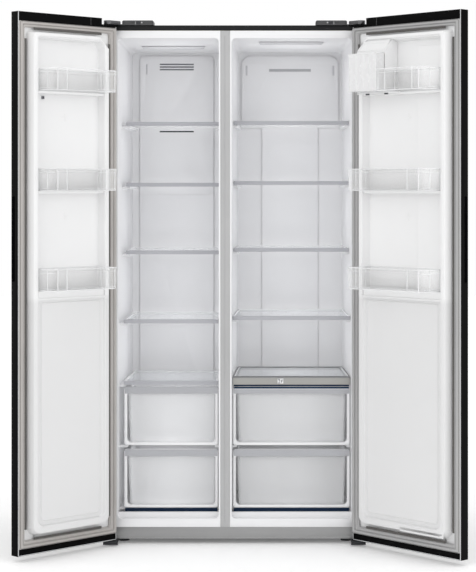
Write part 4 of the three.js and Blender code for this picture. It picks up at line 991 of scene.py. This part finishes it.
def glow(name, place, power, radius=0.05):
    """A small soft light inside the cavity that only lights, and isn't seen."""
    data = bpy.data.lights.new(name, "POINT")
    data.energy = power
    data.shadow_soft_size = radius
    light = bpy.data.objects.new(name, data)
    bpy.context.scene.collection.objects.link(light)
    light.location = place
    light.visible_camera = False
    light.visible_glossy = False


def stage():
    bm = bmesh.new()
    bmesh.ops.create_grid(bm, x_segments=4, y_segments=4, size=14.0)
    mesh = bpy.data.meshes.new("floor")
    bm.to_mesh(mesh)
    bm.free()
    floor = bpy.data.objects.new("floor", mesh)
    bpy.context.scene.collection.objects.link(floor)
    paint = moulded("floor_paint", (0.96, 0.96, 0.96), 0.6, 0.004)
    shader = paint.node_tree.nodes["Principled BSDF"]
    shader.inputs["Emission Color"].default_value = (1, 1, 1, 1)
    shader.inputs["Emission Strength"].default_value = 0.14
    mesh.materials.append(paint)
    world = bpy.data.worlds.new("studio")
    bpy.context.scene.world = world
    world.use_nodes = True
    world.node_tree.nodes["Background"].inputs["Color"].default_value = (1, 1, 1, 1)
    world.node_tree.nodes["Background"].inputs["Strength"].default_value = 1.0


def interior_lights():
    for room, power, drawer_share in (("freezer", 0.245, 1.3), ("fridge", 0.26, 0.7)):
        (x0, x1), _, _ = box_of(f"{room}_duct_cover")
        tops = [box_of(f"{room}_shelf_{i}")[2][1] for i in (4, 3, 2, 1)]
        floor = box_of(f"{room}_upper_drawer_front")[2][1] + 30
        ceiling = box_of(f"{room}_lamp_lens")[2][0]
        levels = [floor, *tops, ceiling]
        for i, (low, high) in enumerate(zip(levels, levels[1:])):
            place = cabinet((x0 + x1) / 2, 210, (low + high) / 2)
            glow(f"{room}_glow_{i}", place, power * (1.5 if i == 0 else 1.0) * (high - low) / 230)
        for which in ("upper", "lower"):
            z0, z1 = box_of(f"{room}_{which}_drawer_tub")[2]
            place = cabinet((x0 + x1) / 2, 150, (z0 + z1) / 2)
            glow(f"{room}_{which}_drawer_glow", place, power * drawer_share)


# The camera's eye in metres: right of the cabinet's middle, before its front, and above the floor.
EYE = {"right": 0.1145, "before": 6.1266, "height": 1.198}


def camera():
    data = bpy.data.cameras.new("camera")
    data.sensor_width = 36.0
    data.lens = 113.93
    data.shift_x = -0.0533
    data.shift_y = -0.168
    eye = bpy.data.objects.new("camera", data)
    bpy.context.scene.collection.objects.link(eye)
    eye.location = (CENTRE_X + EYE["right"], FRONT - EYE["before"], EYE["height"])
    eye.rotation_euler = (math.radians(90), 0, 0)
    bpy.context.scene.camera = eye


# ------------------------------------------------------------------ the refrigerator
stage()
camera()
bpy.context.scene.view_settings.view_transform = "Standard"
area_light("key", (3.0, 2.2), 22, (-2.2, -4.2, 3.4), (0, 0.1, 0.9))
area_light("fill", (2.6, 2.6), 15, (2.8, -4.0, 1.8), (0, 0.1, 0.9))
area_light("left_side", (1.6, 2.4), 3.5, (-3.4, -1.8, 1.3), (-0.6, -0.3, 0.9))
area_light("right_side", (1.6, 2.4), 10, (3.4, -1.8, 1.3), (0.6, -0.3, 0.9))
interior_lights()

for node, (finish, edge) in PLAIN.items():
    refined(node, finish, edge)
for node, shade in (("freezer_duct_cover", "slot_shade"), ("fridge_duct_cover", "slot_grey")):
    duct_cover(node, shade)
for node in ("freezer_lamp_lens", "fridge_lamp_lens"):
    lamp(node)
for side, door in DOORS.items():
    door_body(door)
    inner, sill, top = door_liner(door)
    liner_details(door, inner, sill, top)
    door_gasket(door)
    hinge_cover(side)
    for level in (1, 2, 3):
        door_bin(door, f"{side}_door_bin_{level}")
    if side == "left":
        left_door_extras(door, inner)
dairy(DOORS["right"])
right_door_extras(DOORS["right"])

for room in ("freezer", "fridge"):
    for level in (1, 2, 3, 4):
        shelf_pieces(f"{room}_shelf_{level}", 14, "clear_edge", "shelf_grey")
    for which in ("upper", "lower"):
        drawer_pieces(room, which)
    # A navy strip under each lower drawer: painted shadow for the gap above the cavity's floor.
    front = f"{room}_lower_drawer_front"
    drawer_low = box_of(front)[2][0]
    painted_shadow_strip(f"{room}_lower_dark_strip", front, (52, 56), (drawer_low - 17, drawer_low - 1.5))
shelf_pieces("freezer_drawer_cover", 14, "clear_edge", "shelf_grey")
across, ys, zs = shelf_pieces("crisper_cover", 14, "clear_edge", "bar_grey")
crisper_details(across, ys, zs)
# A navy strip between the fridge's upper drawer and the crisper cover: painted shadow for the gap.
drawer_top = box_of("fridge_upper_drawer_front")[2][1]
painted_shadow_strip("fridge_upper_dark_strip", "fridge_upper_drawer_front", (50, 54), (drawer_top + 1.2, zs[0] - 0.8))
